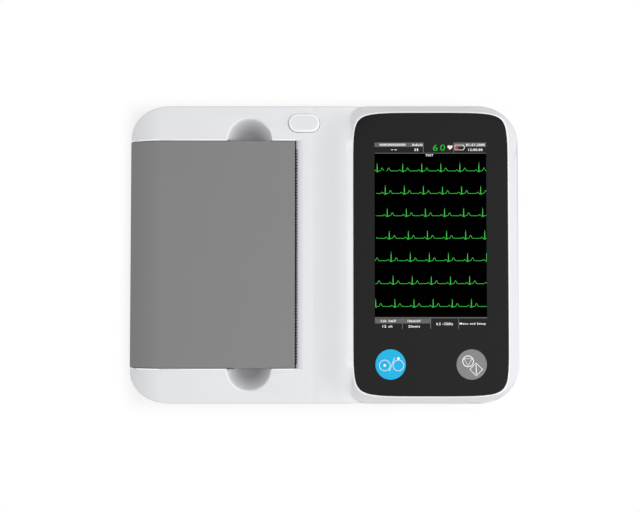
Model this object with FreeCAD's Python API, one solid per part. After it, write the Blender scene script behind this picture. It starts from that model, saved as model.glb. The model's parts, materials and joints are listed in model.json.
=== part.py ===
import FreeCAD
import Part
import math
import os

from FreeCAD import Vector

# Desktop ECG recorder, in millimetres.
# X points to the operator's right, Y to the back and Z up from the table.

# Case shells
CASE_WIDTH = 391.0
CASE_DEPTH = 298.0
CASE_WALL = 2.8
FLOOR_THICKNESS = 3.0
FOOT_HEIGHT = 3.0
PARTING_HEIGHT = 36.0
TOP_HEIGHT = 64.0
LEFT_CORNER = (42.0, 31.0)
RIGHT_CORNER = (40.0, 38.0)
TOP_EDGE_ROUND = 1.6
LOWER_INSET = 0.8
LOWER_TAPER = 7.0
LOWER_TAPER_HEIGHT = 11.0

# Left end, where the wings and the cover roll down
ROLL_LENGTH = 32.5
ROLL_DROP = 11.0

# Raised display pod and the ramp that leads up to it
POD_RISE = 8.0
POD_SIDE_MARGIN = 10.9
POD_END_MARGIN = 6.9
POD_SKIRT = 7.0
POD_SKIRT_CORNER = (24.0, 24.0)
RIM_WIDTH = 1.5
RIM_BEVEL = 0.7
PANEL_WIDTH = 153.4
PANEL_THICKNESS = 2.0
PANEL_RECESS = 0.5
PANEL_GAP = 0.2
PANEL_CORNER = 60.0
PANEL_END_FLAT = 4.0
SOFT_SIDE = 0.8
SOFT_END = 0.9
COLUMN_WIDTH = 55.6
RAMP_START = 13.4
RAMP_RISE = 7.2
RAMP_FLAT_MARGIN = 37.0
RAMP_EDGE_MARGIN = 3.0
RAMP_EDGE_DROP = 2.6

# Screen and touch keys
SCREEN_WIDTH = 111.0
SCREEN_DEPTH = 185.8
SCREEN_BACK_MARGIN = 27.6
KEY_RADIUS = 15.0
KEY_SPACING = 80.1
KEY_FRONT_MARGIN = 31.2
KEY_THICKNESS = 0.4
MODULE_BORDER = 7.5
MODULE_THICKNESS = 6.0
SEAL_THICKNESS = 1.0
POD_FLOOR = 2.4
BRACKET_SHEET = 1.5

# Printer cover and paper
PAPER_WIDTH = 210.0
PAPER_FOLD_CLEARANCE = 1.0
PAPER_STACK = 18.0
PAPER_SHEET = 0.12
PAPER_END_GAP = 1.0
WRAP_ANGLES = (-100, -62, -15)
COVER_MARGIN = 8.5
COVER_GAP = 0.7
COVER_SKIN = 3.0
COVER_EDGE_ROUND = 1.2
COVER_PROUD = 0.5
SKIRT_CORNER_ROUND = 3.0
SLOT_WIDTH = 1.2
LIP_LENGTH = 8.4
LIP_DROP = 3.8
LIP_DEPTH = 8.0
TOOTH_PITCH = 2.6
TOOTH_DEPTH = 1.4
TEAR_BAR_REACH = 2.6
TEAR_BAR_RISE = 1.1
TEAR_BAR_THICKNESS = 0.8
TEAR_BAR_SEAT = 3.0
TEAR_BAR_FRONT = 3.5
TEAR_BAR_BACK = 8.0
FRAME_SHEET = 1.6
FRAME_RIB_HEIGHT = 6.0
FRAME_RIBS = 5

# Finger scoops beside the cover
SCOOP_RADIUS = 22.6
SCOOP_DEPTH = 13.0
SCOOP_FROM_EDGE = 45.4
SCOOP_WALL = 2.4

# Cover hinge
HINGE_INSET = 4.0
HINGE_RISE = 3.5
KNUCKLE_RADIUS = 3.8
HINGE_PIN_RADIUS = 1.5
KNUCKLE_LENGTH = 20.0
KNUCKLE_OUTER = 12.0
KNUCKLE_GAP = 0.4
HINGE_FROM_PAPER_EDGE = 30.0
SKIRT_LIFT = 0.5
HINGE_RELIEF = 2.4

# Platen, its gear train and the print head
PLATEN_RADIUS = 8.0
PLATEN_EDGE_CLEARANCE = 2.5
PLATEN_TOP_CLEARANCE = 1.4
SHAFT_RADIUS = 3.0
ROLLER_EXTRA = 0.5
RUNNING_GAP = 0.05
SIDE_GAP = 0.4
BUSH_WALL = 1.6
ARM_THICKNESS = 2.0
ARM_RADIUS = 6.5
GEAR_MODULE = 1.0
GEAR_FACE = 2.6
GEAR_BACKLASH = 0.16
PLATEN_TEETH = 18
IDLER_TEETH = 30
PINION_TEETH = 12
IDLER_DIRECTION = 236.0
MOTOR_DIRECTION = 200.0
IDLER_PIN_RADIUS = 2.0
MOTOR_RADIUS = 12.5
MOTOR_LENGTH = 18.0
MOTOR_SHAFT_RADIUS = 1.0
NIP_ANGLE = -25.0
NIP_GAP = 0.4
HEAD_SUBSTRATE = 1.2
HEAD_SINK = 4.0
HEAD_SHORTER = 1.5
HEAD_BELOW = 9.0
HEAD_ABOVE = 6.0
HEAD_ROD_RADIUS = 2.0
HEAD_ROD_BELOW = 8.0
HEAD_ROD_BEHIND = 8.0

# Printer chassis and paper tray
CHASSIS_SHEET = 1.5
CHASSIS_FLOOR = 12.0
CHASSIS_LENGTH = 44.0
CHASSIS_SIDE_GAP = 0.8
PLATE_FROM_SCOOP = 18.4
TRAY_SHEET = 1.6
PAPER_BELOW_PLATEN = 2.4
TRAY_SIDE_GAP = 1.6
TRAY_SIDE_WALL = 2.4
TRAY_TOP_GAP = 0.4
TRAY_LEG_RADIUS = 4.0

# Release button and latch
BUTTON_LENGTH = 31.2
BUTTON_WIDTH = 18.2
BUTTON_ROUND = 1.6
BUTTON_GAP = 0.5
BUTTON_TRAVEL = 2.5
BUTTON_RISE = BUTTON_TRAVEL + 0.7
BUTTON_FROM_LIP = 8.1
BUTTON_FROM_COVER = 17.3
BUTTON_FLANGE = 2.0
STEM_RADIUS = 2.6
LATCH_DROP = 19.0
LATCH_BESIDE = 7.5
LATCH_SHAFT_RADIUS = 2.0
HOOK_THICKNESS = 1.6
HOOK_CLEARANCE = 0.4
SPRING_SPAN = 24.0
SPRING_LEAF = 0.5
SPRING_WIDTH = 3.6

# Boards, battery and connectors
BOARD_SHEET = 1.6
MAIN_BOARD_HEIGHT = 40.0
LOW_BOARD_HEIGHT = 12.0
BOARD_POST_RADIUS = 3.5
BOARD_POST_INSET = 6.0
BATTERY_SIZE = (148.0, 66.0, 20.5)
BATTERY_GAP = 1.0
BATTERY_WALL = 2.0
BATTERY_FROM_RIGHT = 91.5
BATTERY_FROM_FRONT = 110.0
DOOR_EAR = 1.0
DOOR_LAP = 4.0
DOOR_SHEET = 1.8
GRIP_GROOVES = 4
GRIP_PITCH = 4.0
GRIP_HALF = 14.0
GRIP_DEPTH = 0.6
DOOR_SEAT = 2.0
SPEAKER_RADIUS = 20.0
GRILLE_RADIUS = 13.3
GRILLE_SLOTS = 5
GRILLE_PITCH = 5.5
VENT_SLOTS = 7
VENT_PITCH = 9.0
VENT_WIDTH = 3.0
VENT_INSET = 11.0
SPEAKER_FROM_RIGHT = 61.5
SPEAKER_FROM_FRONT = 45.0
PORT_GAP = 0.3
LAN_SIZE = (16.0, 21.0, 13.5)
LAN_REACH = 14.0
LAN_MOUTH = (6.0, 3.5, 11.0)
LAN_TAB = (3.0, 1.5, 4.0)
LAN_FROM_RIGHT = 75.5
USB_SIZE = (14.5, 17.0, 7.0)
USB_REACH = 12.0
USB_MOUTH = (6.3, 0.9, 6.1)
USB_TONGUE = (5.6, 3.6, 5.4)
USB_FROM_RIGHT = (54.5, 36.5)
INLET_BODY = (27.4, 24.0, 19.8)
INLET_FLANGE = (31.0, 2.0, 24.0)
INLET_MOUTH = (12.0, 8.2)
INLET_CORNER = 4.0
INLET_REACH = 17.0
INLET_PIN = (1.0, 2.0)
INLET_PIN_PLACES = ((-7, -2), (7, -2), (0, 2))
INLET_FROM_RIGHT = 149.5
INLET_Z = 20.0
GROUND_FROM_RIGHT = 111.5
GROUND_PIN_RADIUS = 3.0
GROUND_CUP_RADIUS = 9.0
GROUND_CUP_DEPTH = 14.0
PATIENT_SIZE = (16.0, 39.0, 12.4)
SOCKET_ROWS = ((1.4, 8), (-1.4, 7))
SOCKET_PITCH = 2.76
SOCKET_RADIUS = 0.6
JACK_SCREW_OFFSET = 16.7
JACK_SCREW_RADIUS = 1.5
PATIENT_FROM_BACK = 91.0

# Fasteners and feet
POST_RADIUS = 4.2
SCREW_RADIUS = 1.5
SCREW_HEAD = 3.0
CASE_SCREW_DROP = 14.0
CASE_SCREW_LENGTH = 28.0
CASE_SCREW_HEAD_HEIGHT = 2.5
DOOR_SCREW_LENGTH = 8.0
DOOR_SCREW_HEAD_HEIGHT = 0.9
BORE_GAP = 0.3
SCREW_GAP = 0.05
SMALL_SCREW_RADIUS = 1.2
SMALL_SCREW_HEAD = 2.4
SMALL_SCREW_HOLE = 1.4
FOOT_RADIUS = 8.0
FOOT_SEAT = 1.0
FOOT_FROM_END = 21.5
FOOT_FROM_SIDE = 33.0

# Places worked out from the sizes above
HALF_DEPTH = CASE_DEPTH / 2
RIGHT = CASE_WIDTH / 2
LEFT = -CASE_WIDTH / 2
CASE_LEFT = LEFT + COVER_PROUD
ROLL_START = LEFT + ROLL_LENGTH
RIM_HEIGHT = TOP_HEIGHT + POD_RISE
EDGE_HEIGHT = TOP_HEIGHT - TOP_EDGE_ROUND
CEILING = TOP_HEIGHT - CASE_WALL
FLOOR_TOP = FOOT_HEIGHT + FLOOR_THICKNESS
RIM_RIGHT = RIGHT - POD_SIDE_MARGIN
RIM_LEFT = RIM_RIGHT - PANEL_WIDTH - 2 * RIM_WIDTH
RIM_HALF_DEPTH = HALF_DEPTH - POD_END_MARGIN
PANEL_X = (RIM_LEFT + RIM_RIGHT) / 2
PANEL_HALF_DEPTH = RIM_HALF_DEPTH - RIM_WIDTH
PANEL_TOP = RIM_HEIGHT - PANEL_RECESS
PANEL_BOTTOM = PANEL_TOP - PANEL_THICKNESS
POD_CEILING = PANEL_BOTTOM - POD_FLOOR
SCREEN_Y = PANEL_HALF_DEPTH - SCREEN_BACK_MARGIN - SCREEN_DEPTH / 2
KEY_Y = -PANEL_HALF_DEPTH + KEY_FRONT_MARGIN
LIP_X = RIM_LEFT - COLUMN_WIDTH
COVER_RIGHT = LIP_X - SLOT_WIDTH
PAPER_HALF = PAPER_WIDTH / 2
COVER_HALF = PAPER_HALF + COVER_MARGIN
OPENING_HALF = COVER_HALF + COVER_GAP
COVER_BOTTOM = TOP_HEIGHT - COVER_SKIN
SCOOP_X = COVER_RIGHT - SCOOP_FROM_EDGE
HINGE_X = LEFT + HINGE_INSET
HINGE_Z = PARTING_HEIGHT + HINGE_RISE
PLATEN_X = COVER_RIGHT - PLATEN_RADIUS - PLATEN_EDGE_CLEARANCE
PLATEN_Z = COVER_BOTTOM - FRAME_SHEET - PLATEN_TOP_CLEARANCE - PLATEN_RADIUS
ROLLER_HALF = PAPER_HALF + ROLLER_EXTRA
HOOK_Y = ROLLER_HALF + 2 * SIDE_GAP
ARM_Y = HOOK_Y + HOOK_THICKNESS + SIDE_GAP
GEAR_Y = ARM_Y + ARM_THICKNESS + SIDE_GAP
PLATE_Y = OPENING_HALF + CHASSIS_SIDE_GAP
LATCH_X = PLATEN_X + LATCH_BESIDE
LATCH_Z = PLATEN_Z - LATCH_DROP
BUTTON_X = LIP_X + BUTTON_FROM_LIP
BUTTON_Y = OPENING_HALF + BUTTON_FROM_COVER
CHASSIS_RIGHT = PLATEN_X + 29.5
CHASSIS_LEFT = CHASSIS_RIGHT - CHASSIS_LENGTH
TRAY_LEFT = HINGE_X + KNUCKLE_RADIUS + 0.7
TRAY_RIGHT = PLATEN_X - 4.5
TRAY_SIDE_END = PLATEN_X - 9.5
TRAY_Y = PAPER_HALF + TRAY_SIDE_GAP
PAPER_TOP = PLATEN_Z - PLATEN_RADIUS - PAPER_BELOW_PLATEN
TRAY_FLOOR = PAPER_TOP - PAPER_STACK - TRAY_SHEET
BAY_WALL_END = PLATEN_X - 22.5
LOWER_BACK = HALF_DEPTH - LOWER_INSET
LOWER_RIGHT = RIGHT - LOWER_INSET
LAN_X = RIGHT - LAN_FROM_RIGHT
USB_PLACES = [RIGHT - inset for inset in USB_FROM_RIGHT]
INLET_X = RIGHT - INLET_FROM_RIGHT
GROUND_X = RIGHT - GROUND_FROM_RIGHT
PATIENT_Y = HALF_DEPTH - PATIENT_FROM_BACK
BATTERY_X = RIGHT - BATTERY_FROM_RIGHT
BATTERY_Y = BATTERY_FROM_FRONT - HALF_DEPTH
SPEAKER_X = RIGHT - SPEAKER_FROM_RIGHT
SPEAKER_Y = SPEAKER_FROM_FRONT - HALF_DEPTH
MAIN_BOARD = (RIGHT - 175.5, RIGHT - 25.5, 21 - HALF_DEPTH, HALF_DEPTH - 6)
ECG_BOARD = (RIGHT - 75.5, RIGHT - 7.5, HALF_DEPTH - 129, HALF_DEPTH - 49)
POWER_BOARD = (RIGHT - 163.5, RIGHT - 87.5, HALF_DEPTH - 139, HALF_DEPTH - 27)
FOOT_X = RIGHT - FOOT_FROM_END
FOOT_Y = HALF_DEPTH - FOOT_FROM_SIDE
HINGE_SPACING = PAPER_WIDTH - HINGE_FROM_PAPER_EDGE * 2
HEAD_HALF = PAPER_HALF - HEAD_SHORTER


# Small helpers


def box(x0, x1, y0, y1, z0, z1):
    return Part.makeBox(x1 - x0, y1 - y0, z1 - z0, Vector(x0, y0, z0))


def rod_y(x, z, radius, y0, y1):
    return Part.makeCylinder(radius, y1 - y0, Vector(x, y0, z), Vector(0, 1, 0))


def rod_z(x, y, radius, z0, z1):
    return Part.makeCylinder(radius, z1 - z0, Vector(x, y, z0))


def line(a, b):
    return Part.LineSegment(a, b).toShape()


def arc(a, b, c):
    return Part.Arc(a, b, c).toShape()


def parabola(x0, x1, z0, z1):
    curve = Part.BezierCurve()
    curve.setPoles([Vector(x0, 0, z0), Vector((x0 + x1) / 2, 0, z0), Vector(x1, 0, z1)])
    return curve.toShape()


def polygon_xz(points):
    corners = [Vector(x, 0, z) for x, z in points]
    return Part.makePolygon(corners + corners[:1])


def extrude_y(wire, y0, y1):
    face = Part.Face(wire)
    face.translate(Vector(0, y0, 0))
    return face.extrude(Vector(0, y1 - y0, 0))


def extrude_z(wire, height):
    return Part.Face(wire).extrude(Vector(0, 0, height))


def mirror_y(shape):
    return shape.mirror(Vector(0, 0, 0), Vector(0, 1, 0))


def both_sides(shape):
    return [shape, mirror_y(shape)]


def join(shapes):
    return shapes[0].multiFuse(shapes[1:]).removeSplitter()


def group(solids):
    return Part.makeCompound(solids)


def smooth(t):
    t = min(max(t, 0.0), 1.0)
    return t * t * t * (t * (6 * t - 15) + 10)


# Outlines of the case, the pod and the panel


def elliptic_outline(x0, x1, half_depth, left, right, z):
    def corner(cx, cy, size, start):
        ellipse = Part.Ellipse(Vector(cx, cy, z), size[0], size[1])
        first = math.radians(start)
        return Part.ArcOfEllipse(ellipse, first, first + math.pi / 2).toShape()

    xr, yr = x1 - right[0], half_depth - right[1]
    xl, yl = x0 + left[0], half_depth - left[1]
    return Part.Wire([
        line(Vector(x1, -yr, z), Vector(x1, yr, z)),
        corner(xr, yr, right, 0),
        line(Vector(xr, half_depth, z), Vector(xl, half_depth, z)),
        corner(xl, yl, left, 90),
        line(Vector(x0, yl, z), Vector(x0, -yl, z)),
        corner(xl, -yl, left, 180),
        line(Vector(xl, -half_depth, z), Vector(xr, -half_depth, z)),
        corner(xr, -yr, right, 270),
    ])


def case_outline(inset, z):
    left = (LEFT_CORNER[0] - inset, LEFT_CORNER[1] - inset)
    right = (RIGHT_CORNER[0] - inset, RIGHT_CORNER[1] - inset)
    return elliptic_outline(CASE_LEFT + inset, RIGHT - inset, HALF_DEPTH - inset, left, right, z)


def soft_outline(half_width, half_depth, reach, z):
    """Oblong whose sides bend ever more towards its corners."""
    along, across = half_depth - reach, PANEL_END_FLAT
    poles = [(half_width, along), (half_width, along + SOFT_SIDE * reach), (half_width, half_depth),
             (across + SOFT_END * (half_width - across), half_depth), (across, half_depth)]

    def at(point, sx, sy):
        return Vector(PANEL_X + sx * point[0], sy * point[1], z)

    def corner(sx, sy, points):
        curve = Part.BezierCurve()
        curve.setPoles([at(point, sx, sy) for point in points])
        return curve.toShape()

    side, end, back = poles[0], poles[-1], poles[::-1]
    return Part.Wire([
        line(at(side, 1, -1), at(side, 1, 1)), corner(1, 1, poles),
        line(at(end, 1, 1), at(end, -1, 1)), corner(-1, 1, back),
        line(at(side, -1, 1), at(side, -1, -1)), corner(-1, -1, poles),
        line(at(end, -1, -1), at(end, 1, -1)), corner(1, -1, back),
    ])


def rim_outline(inset, z):
    half_width = (RIM_RIGHT - RIM_LEFT) / 2 - inset
    return soft_outline(half_width, RIM_HALF_DEPTH - inset, PANEL_CORNER + RIM_WIDTH - inset, z)


def under_top(drop, x_right, z_bottom):
    """Block below the top skin's side profile, lowered by drop."""
    top, end = TOP_HEIGHT - drop, TOP_HEIGHT - ROLL_DROP - drop
    wire = Part.Wire([
        line(Vector(LEFT, 0, z_bottom), Vector(LEFT, 0, end)),
        parabola(ROLL_START, LEFT, top, end),
        line(Vector(ROLL_START, 0, top), Vector(x_right, 0, top)),
        line(Vector(x_right, 0, top), Vector(x_right, 0, z_bottom)),
        line(Vector(x_right, 0, z_bottom), Vector(LEFT, 0, z_bottom)),
    ])
    return extrude_y(wire, -HALF_DEPTH - 1, HALF_DEPTH + 1)


# Upper case


def ramp_height(x, y):
    start = LIP_X + RAMP_START
    flat = HALF_DEPTH - RAMP_FLAT_MARGIN
    edge = HALF_DEPTH - RAMP_EDGE_MARGIN
    climb = smooth((x - start) / (RIM_LEFT - start))
    inside = 1 - smooth((abs(y) - flat) / (edge - flat))
    dip = smooth((x - RIM_LEFT + 12) / 25)
    return TOP_HEIGHT + RAMP_RISE * climb * inside - RAMP_EDGE_DROP * dip * (1 - inside)


def ramp_block():
    start, end = LIP_X + RAMP_START, RIM_LEFT + 32
    columns, rows = 10, 25
    points = []
    for i in range(columns):
        x = start + (end - start) * i / (columns - 1)
        ys = [(HALF_DEPTH + 1) * (2 * j / (rows - 1) - 1) for j in range(rows)]
        points.append([Vector(x, y, ramp_height(x, y)) for y in ys])
    surface = Part.BSplineSurface()
    surface.interpolate(points)
    return surface.toShape().extrude(Vector(0, 0, -TOP_HEIGHT + FOOT_HEIGHT))


def on_outline(edge, outline):
    middle = edge.valueAt((edge.FirstParameter + edge.LastParameter) / 2)
    foot = Part.Vertex(middle.x, middle.y, PARTING_HEIGHT)
    low = min(vertex.Z for vertex in edge.Vertexes)
    return low > PARTING_HEIGHT + 1 and outline.distToShape(foot)[0] < 0.01


def wing_body():
    outline = case_outline(0, PARTING_HEIGHT)
    prism = extrude_z(outline, TOP_HEIGHT)
    block = under_top(0, LIP_X + RAMP_START, PARTING_HEIGHT - 1)
    body = block.fuse(ramp_block()).common(prism).removeSplitter()
    edges = [edge for edge in body.Edges if on_outline(edge, outline)]
    upright = [edge for edge in edges if abs(edge.tangentAt(edge.FirstParameter).z) > 0.9]
    rounded = [edge for edge in edges if not any(edge.isSame(other) for other in upright)]
    return body.makeFillet(TOP_EDGE_ROUND, rounded)


def pod_body():
    foot = elliptic_outline(RIM_LEFT - POD_SKIRT, RIGHT, HALF_DEPTH, POD_SKIRT_CORNER, RIGHT_CORNER,
                            EDGE_HEIGHT)
    shoulder = rim_outline(0, RIM_HEIGHT - RIM_BEVEL)
    rim = rim_outline(RIM_BEVEL, RIM_HEIGHT)
    top = Part.makeLoft([foot, shoulder, rim], True, True)
    return top.fuse(extrude_z(foot, PARTING_HEIGHT - EDGE_HEIGHT))


def scoop_ball(side, extra):
    radius = (SCOOP_RADIUS ** 2 + SCOOP_DEPTH ** 2) / (2 * SCOOP_DEPTH)
    centre = Vector(SCOOP_X, side * OPENING_HALF, TOP_HEIGHT - SCOOP_DEPTH + radius)
    return Part.makeSphere(radius + extra, centre)


def bay_opening():
    low, high = PARTING_HEIGHT - 5, RIM_HEIGHT + 5
    end = LIP_X + LIP_LENGTH
    crest = TOP_HEIGHT + 0.03
    radius = (LIP_LENGTH ** 2 + LIP_DROP ** 2) / (2 * LIP_DROP)
    half_bend = math.asin(LIP_LENGTH / radius) / 2
    middle = Vector(end - radius * math.sin(half_bend), 0, crest - radius * (1 - math.cos(half_bend)))
    wire = Part.Wire([
        line(Vector(LEFT - 5, 0, low), Vector(LIP_X, 0, low)),
        line(Vector(LIP_X, 0, low), Vector(LIP_X, 0, crest - LIP_DROP)),
        arc(Vector(LIP_X, 0, crest - LIP_DROP), middle, Vector(end, 0, crest)),
        line(Vector(end, 0, crest), Vector(end, 0, high)),
        line(Vector(end, 0, high), Vector(LEFT - 5, 0, high)),
        line(Vector(LEFT - 5, 0, high), Vector(LEFT - 5, 0, low)),
    ])
    return extrude_y(wire, -OPENING_HALF, OPENING_HALF)


def post_places():
    right_x, left_x = RIGHT - 17.5, LEFT + 17.5
    corner_y, mid_y = HALF_DEPTH - 17, HALF_DEPTH - 10
    column_x = INLET_X - 32
    wing_x = SCOOP_X - 46
    return [(x, side * y) for side in (-1, 1) for x, y in
            ((right_x, corner_y), (left_x, corner_y), (column_x, mid_y), (wing_x, corner_y))]


def stadium(length, width, z0, z1):
    radius, reach = width / 2, (length - width) / 2
    ends = [rod_z(BUTTON_X + side * reach, BUTTON_Y, radius, z0, z1) for side in (-1, 1)]
    middle = box(BUTTON_X - reach, BUTTON_X + reach, BUTTON_Y - radius, BUTTON_Y + radius, z0, z1)
    return join(ends + [middle])


def upper_case():
    outer = wing_body().fuse(pod_body()).removeSplitter()
    hollow = under_top(CASE_WALL, RIGHT, PARTING_HEIGHT - 2)
    hollow = hollow.common(extrude_z(case_outline(CASE_WALL, PARTING_HEIGHT - 1), RIM_HEIGHT))
    pod_depth = POD_CEILING - PARTING_HEIGHT + 1
    pod_hollow = extrude_z(rim_outline(CASE_WALL, PARTING_HEIGHT - 1), pod_depth)
    shell = outer.cut([hollow, pod_hollow])
    lip = box(LIP_X - 1, LIP_X + LIP_LENGTH + 2, -OPENING_HALF - CASE_WALL, OPENING_HALF + CASE_WALL,
              TOP_HEIGHT - LIP_DEPTH, CEILING + 0.5)
    bay_wall = box(LEFT, BAY_WALL_END, OPENING_HALF, OPENING_HALF + CASE_WALL,
                   PARTING_HEIGHT, TOP_HEIGHT + 1)
    added = [lip] + both_sides(bay_wall)
    for side in (-1, 1):
        keep = box(LEFT, RIGHT, min(side * OPENING_HALF, side * HALF_DEPTH),
                   max(side * OPENING_HALF, side * HALF_DEPTH), PARTING_HEIGHT, TOP_HEIGHT + 1)
        added.append(scoop_ball(side, SCOOP_WALL).common(keep))
    for x, y in post_places():
        added.append(rod_z(x, y, POST_RADIUS, PARTING_HEIGHT, TOP_HEIGHT))
    added = [piece.common(outer) for piece in added]
    shell = shell.multiFuse(added)
    holes = [bay_opening(), scoop_ball(-1, 0), scoop_ball(1, 0)]
    holes.append(stadium(BUTTON_LENGTH + 2 * BUTTON_GAP, BUTTON_WIDTH + 2 * BUTTON_GAP,
                         CEILING - 1, TOP_HEIGHT + 1))
    holes.append(extrude_z(rim_outline(RIM_WIDTH - PANEL_GAP, PANEL_BOTTOM), POD_RISE))
    holes.append(box(PANEL_X - SCREEN_WIDTH / 2 - 3, PANEL_X + SCREEN_WIDTH / 2 + 3,
                     SCREEN_Y - SCREEN_DEPTH / 2 - 3, SCREEN_Y + SCREEN_DEPTH / 2 + 3,
                     POD_CEILING - 1, PANEL_BOTTOM + 1))
    for x, y in post_places():
        holes.append(rod_z(x, y, SCREW_RADIUS + SCREW_GAP, PARTING_HEIGHT - 1, PARTING_HEIGHT + 16))
    holes += port_cutouts()
    return shell.cut(holes).removeSplitter()


# Connectors on the back and right walls


def lan_block(extra):
    width, depth, height = LAN_SIZE
    z = MAIN_BOARD_HEIGHT + BOARD_SHEET
    return box(LAN_X - width / 2 - extra, LAN_X + width / 2 + extra, HALF_DEPTH - depth,
               HALF_DEPTH + extra, z - extra, z + height + extra)


def usb_block(x, extra):
    width, depth, height = USB_SIZE
    z = MAIN_BOARD_HEIGHT + BOARD_SHEET
    return box(x - width / 2 - extra, x + width / 2 + extra, HALF_DEPTH - depth,
               HALF_DEPTH + extra, z - extra, z + height + extra)


def port_cutouts():
    return [lan_block(PORT_GAP)] + [usb_block(x, PORT_GAP) for x in USB_PLACES]


def lan_port():
    z = MAIN_BOARD_HEIGHT + BOARD_SHEET
    back, front = HALF_DEPTH - LAN_REACH, HALF_DEPTH + 1
    half, low, high = LAN_MOUTH
    mouth = box(LAN_X - half, LAN_X + half, back, front, z + low, z + high)
    half, low, high = LAN_TAB
    tab = box(LAN_X - half, LAN_X + half, back, front, z + low, z + high)
    return lan_block(0).cut([mouth, tab])


def usb_ports():
    z = MAIN_BOARD_HEIGHT + BOARD_SHEET
    ports = []
    for x in USB_PLACES:
        half, low, high = USB_MOUTH
        mouth = box(x - half, x + half, HALF_DEPTH - USB_REACH, HALF_DEPTH + 1, z + low, z + high)
        half, low, high = USB_TONGUE
        tongue = box(x - half, x + half, HALF_DEPTH - USB_REACH, HALF_DEPTH - 1, z + low, z + high)
        ports.append(usb_block(x, 0).cut(mouth).fuse(tongue))
    return group(ports)


def inlet_cutouts():
    body, flange = INLET_BODY, INLET_FLANGE
    gap = PORT_GAP
    hole = box(INLET_X - body[0] / 2 - gap, INLET_X + body[0] / 2 + gap, LOWER_BACK - body[1],
               LOWER_BACK + 1, INLET_Z - body[2] / 2 - gap, INLET_Z + body[2] / 2 + gap)
    seat = box(INLET_X - flange[0] / 2 - gap, INLET_X + flange[0] / 2 + gap,
               LOWER_BACK - flange[1], LOWER_BACK + 1,
               INLET_Z - flange[2] / 2 - gap, INLET_Z + flange[2] / 2 + gap)
    return [hole, seat]


def ac_inlet():
    body, flange = INLET_BODY, INLET_FLANGE
    block = box(INLET_X - body[0] / 2, INLET_X + body[0] / 2, LOWER_BACK - body[1], LOWER_BACK,
                INLET_Z - body[2] / 2, INLET_Z + body[2] / 2)
    plate = box(INLET_X - flange[0] / 2, INLET_X + flange[0] / 2, LOWER_BACK - flange[1], LOWER_BACK,
                INLET_Z - flange[2] / 2, INLET_Z + flange[2] / 2)
    wide, tall = INLET_MOUTH
    cut = INLET_CORNER
    mouth = polygon_xz([(INLET_X - wide, INLET_Z - tall), (INLET_X + wide, INLET_Z - tall),
                        (INLET_X + wide, INLET_Z + tall - cut), (INLET_X + wide - cut, INLET_Z + tall),
                        (INLET_X - wide + cut, INLET_Z + tall), (INLET_X - wide, INLET_Z + tall - cut)])
    hollow = extrude_y(mouth, LOWER_BACK - INLET_REACH, LOWER_BACK + 1)
    return block.fuse(plate).cut(hollow).removeSplitter()


def inlet_pins():
    pins = []
    across, tall = INLET_PIN
    for dx, dz in INLET_PIN_PLACES:
        pins.append(box(INLET_X + dx - across, INLET_X + dx + across, LOWER_BACK - INLET_REACH,
                        LOWER_BACK - 2, INLET_Z + dz - tall, INLET_Z + dz + tall))
    return group(pins)


def ground_post():
    cup_end = LOWER_BACK - GROUND_CUP_DEPTH
    pin = rod_y(GROUND_X, INLET_Z, GROUND_PIN_RADIUS, cup_end - CASE_WALL, LOWER_BACK - 1)
    nut = rod_y(GROUND_X, INLET_Z, 6.0, cup_end - CASE_WALL - 3, cup_end - CASE_WALL)
    return pin.fuse(nut).removeSplitter()


def patient_block(extra):
    depth, width, height = PATIENT_SIZE
    z = LOW_BOARD_HEIGHT + BOARD_SHEET
    return box(LOWER_RIGHT - depth, LOWER_RIGHT + extra, PATIENT_Y - width / 2 - extra,
               PATIENT_Y + width / 2 + extra, z - extra, z + height + extra)


def patient_connector():
    z = LOW_BOARD_HEIGHT + BOARD_SHEET + PATIENT_SIZE[2] / 2
    body = patient_block(0)
    ring = [Vector(LOWER_RIGHT - 4, PATIENT_Y + y, z + dz) for y, dz in
            ((-13, 4.3), (13, 4.3), (11.5, -4.3), (-11.5, -4.3))]
    mouth = Part.Face(Part.makePolygon(ring + ring[:1])).extrude(Vector(5, 0, 0))
    plug = [Vector(LOWER_RIGHT - 4, PATIENT_Y + y, z + dz) for y, dz in
            ((-11.6, 3.0), (11.6, 3.0), (10.4, -3.0), (-10.4, -3.0))]
    core = Part.Face(Part.makePolygon(plug + plug[:1])).extrude(Vector(3.5, 0, 0))
    holes = []
    for row, count in SOCKET_ROWS:
        for i in range(count):
            y = PATIENT_Y + (i - (count - 1) / 2) * SOCKET_PITCH
            start = Vector(LOWER_RIGHT - 2, y, z + row)
            holes.append(Part.makeCylinder(SOCKET_RADIUS, 3, start, Vector(1, 0, 0)))
    for side in (-1, 1):
        centre = Vector(LOWER_RIGHT - 5, PATIENT_Y + side * JACK_SCREW_OFFSET, z)
        holes.append(Part.makeCylinder(JACK_SCREW_RADIUS, 6, centre, Vector(1, 0, 0)))
    return body.cut(mouth).fuse(core.cut(holes[:15])).cut(holes[15:]).removeSplitter()


# Lower case


def board_posts(board):
    x0, x1, y0, y1 = board
    inset = BOARD_POST_INSET
    return [(x, y) for x in (x0 + inset, x1 - inset) for y in (y0 + inset, y1 - inset)]


def main_posts():
    x0, x1, y0, y1 = MAIN_BOARD
    inset = BOARD_POST_INSET
    return [(x, y) for x in (x0 + inset, x1 - inset) for y in (y0 + inset, y1 - 20)]


def chassis_posts():
    y = PAPER_HALF - 9
    return [(x, side * y) for x in (CHASSIS_LEFT + 6, CHASSIS_RIGHT - 9) for side in (-1, 1)]


def knuckle_spans():
    """Y ranges of the fixed and the moving knuckles of both hinges."""
    fixed, moving = [], []
    for side in (-1, 1):
        middle = side * HINGE_SPACING / 2
        inner = KNUCKLE_LENGTH / 2
        moving.append((middle - inner, middle + inner))
        outer = inner + KNUCKLE_GAP
        fixed.append((middle - outer - KNUCKLE_OUTER, middle - outer))
        fixed.append((middle + outer, middle + outer + KNUCKLE_OUTER))
    return fixed, moving


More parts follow.
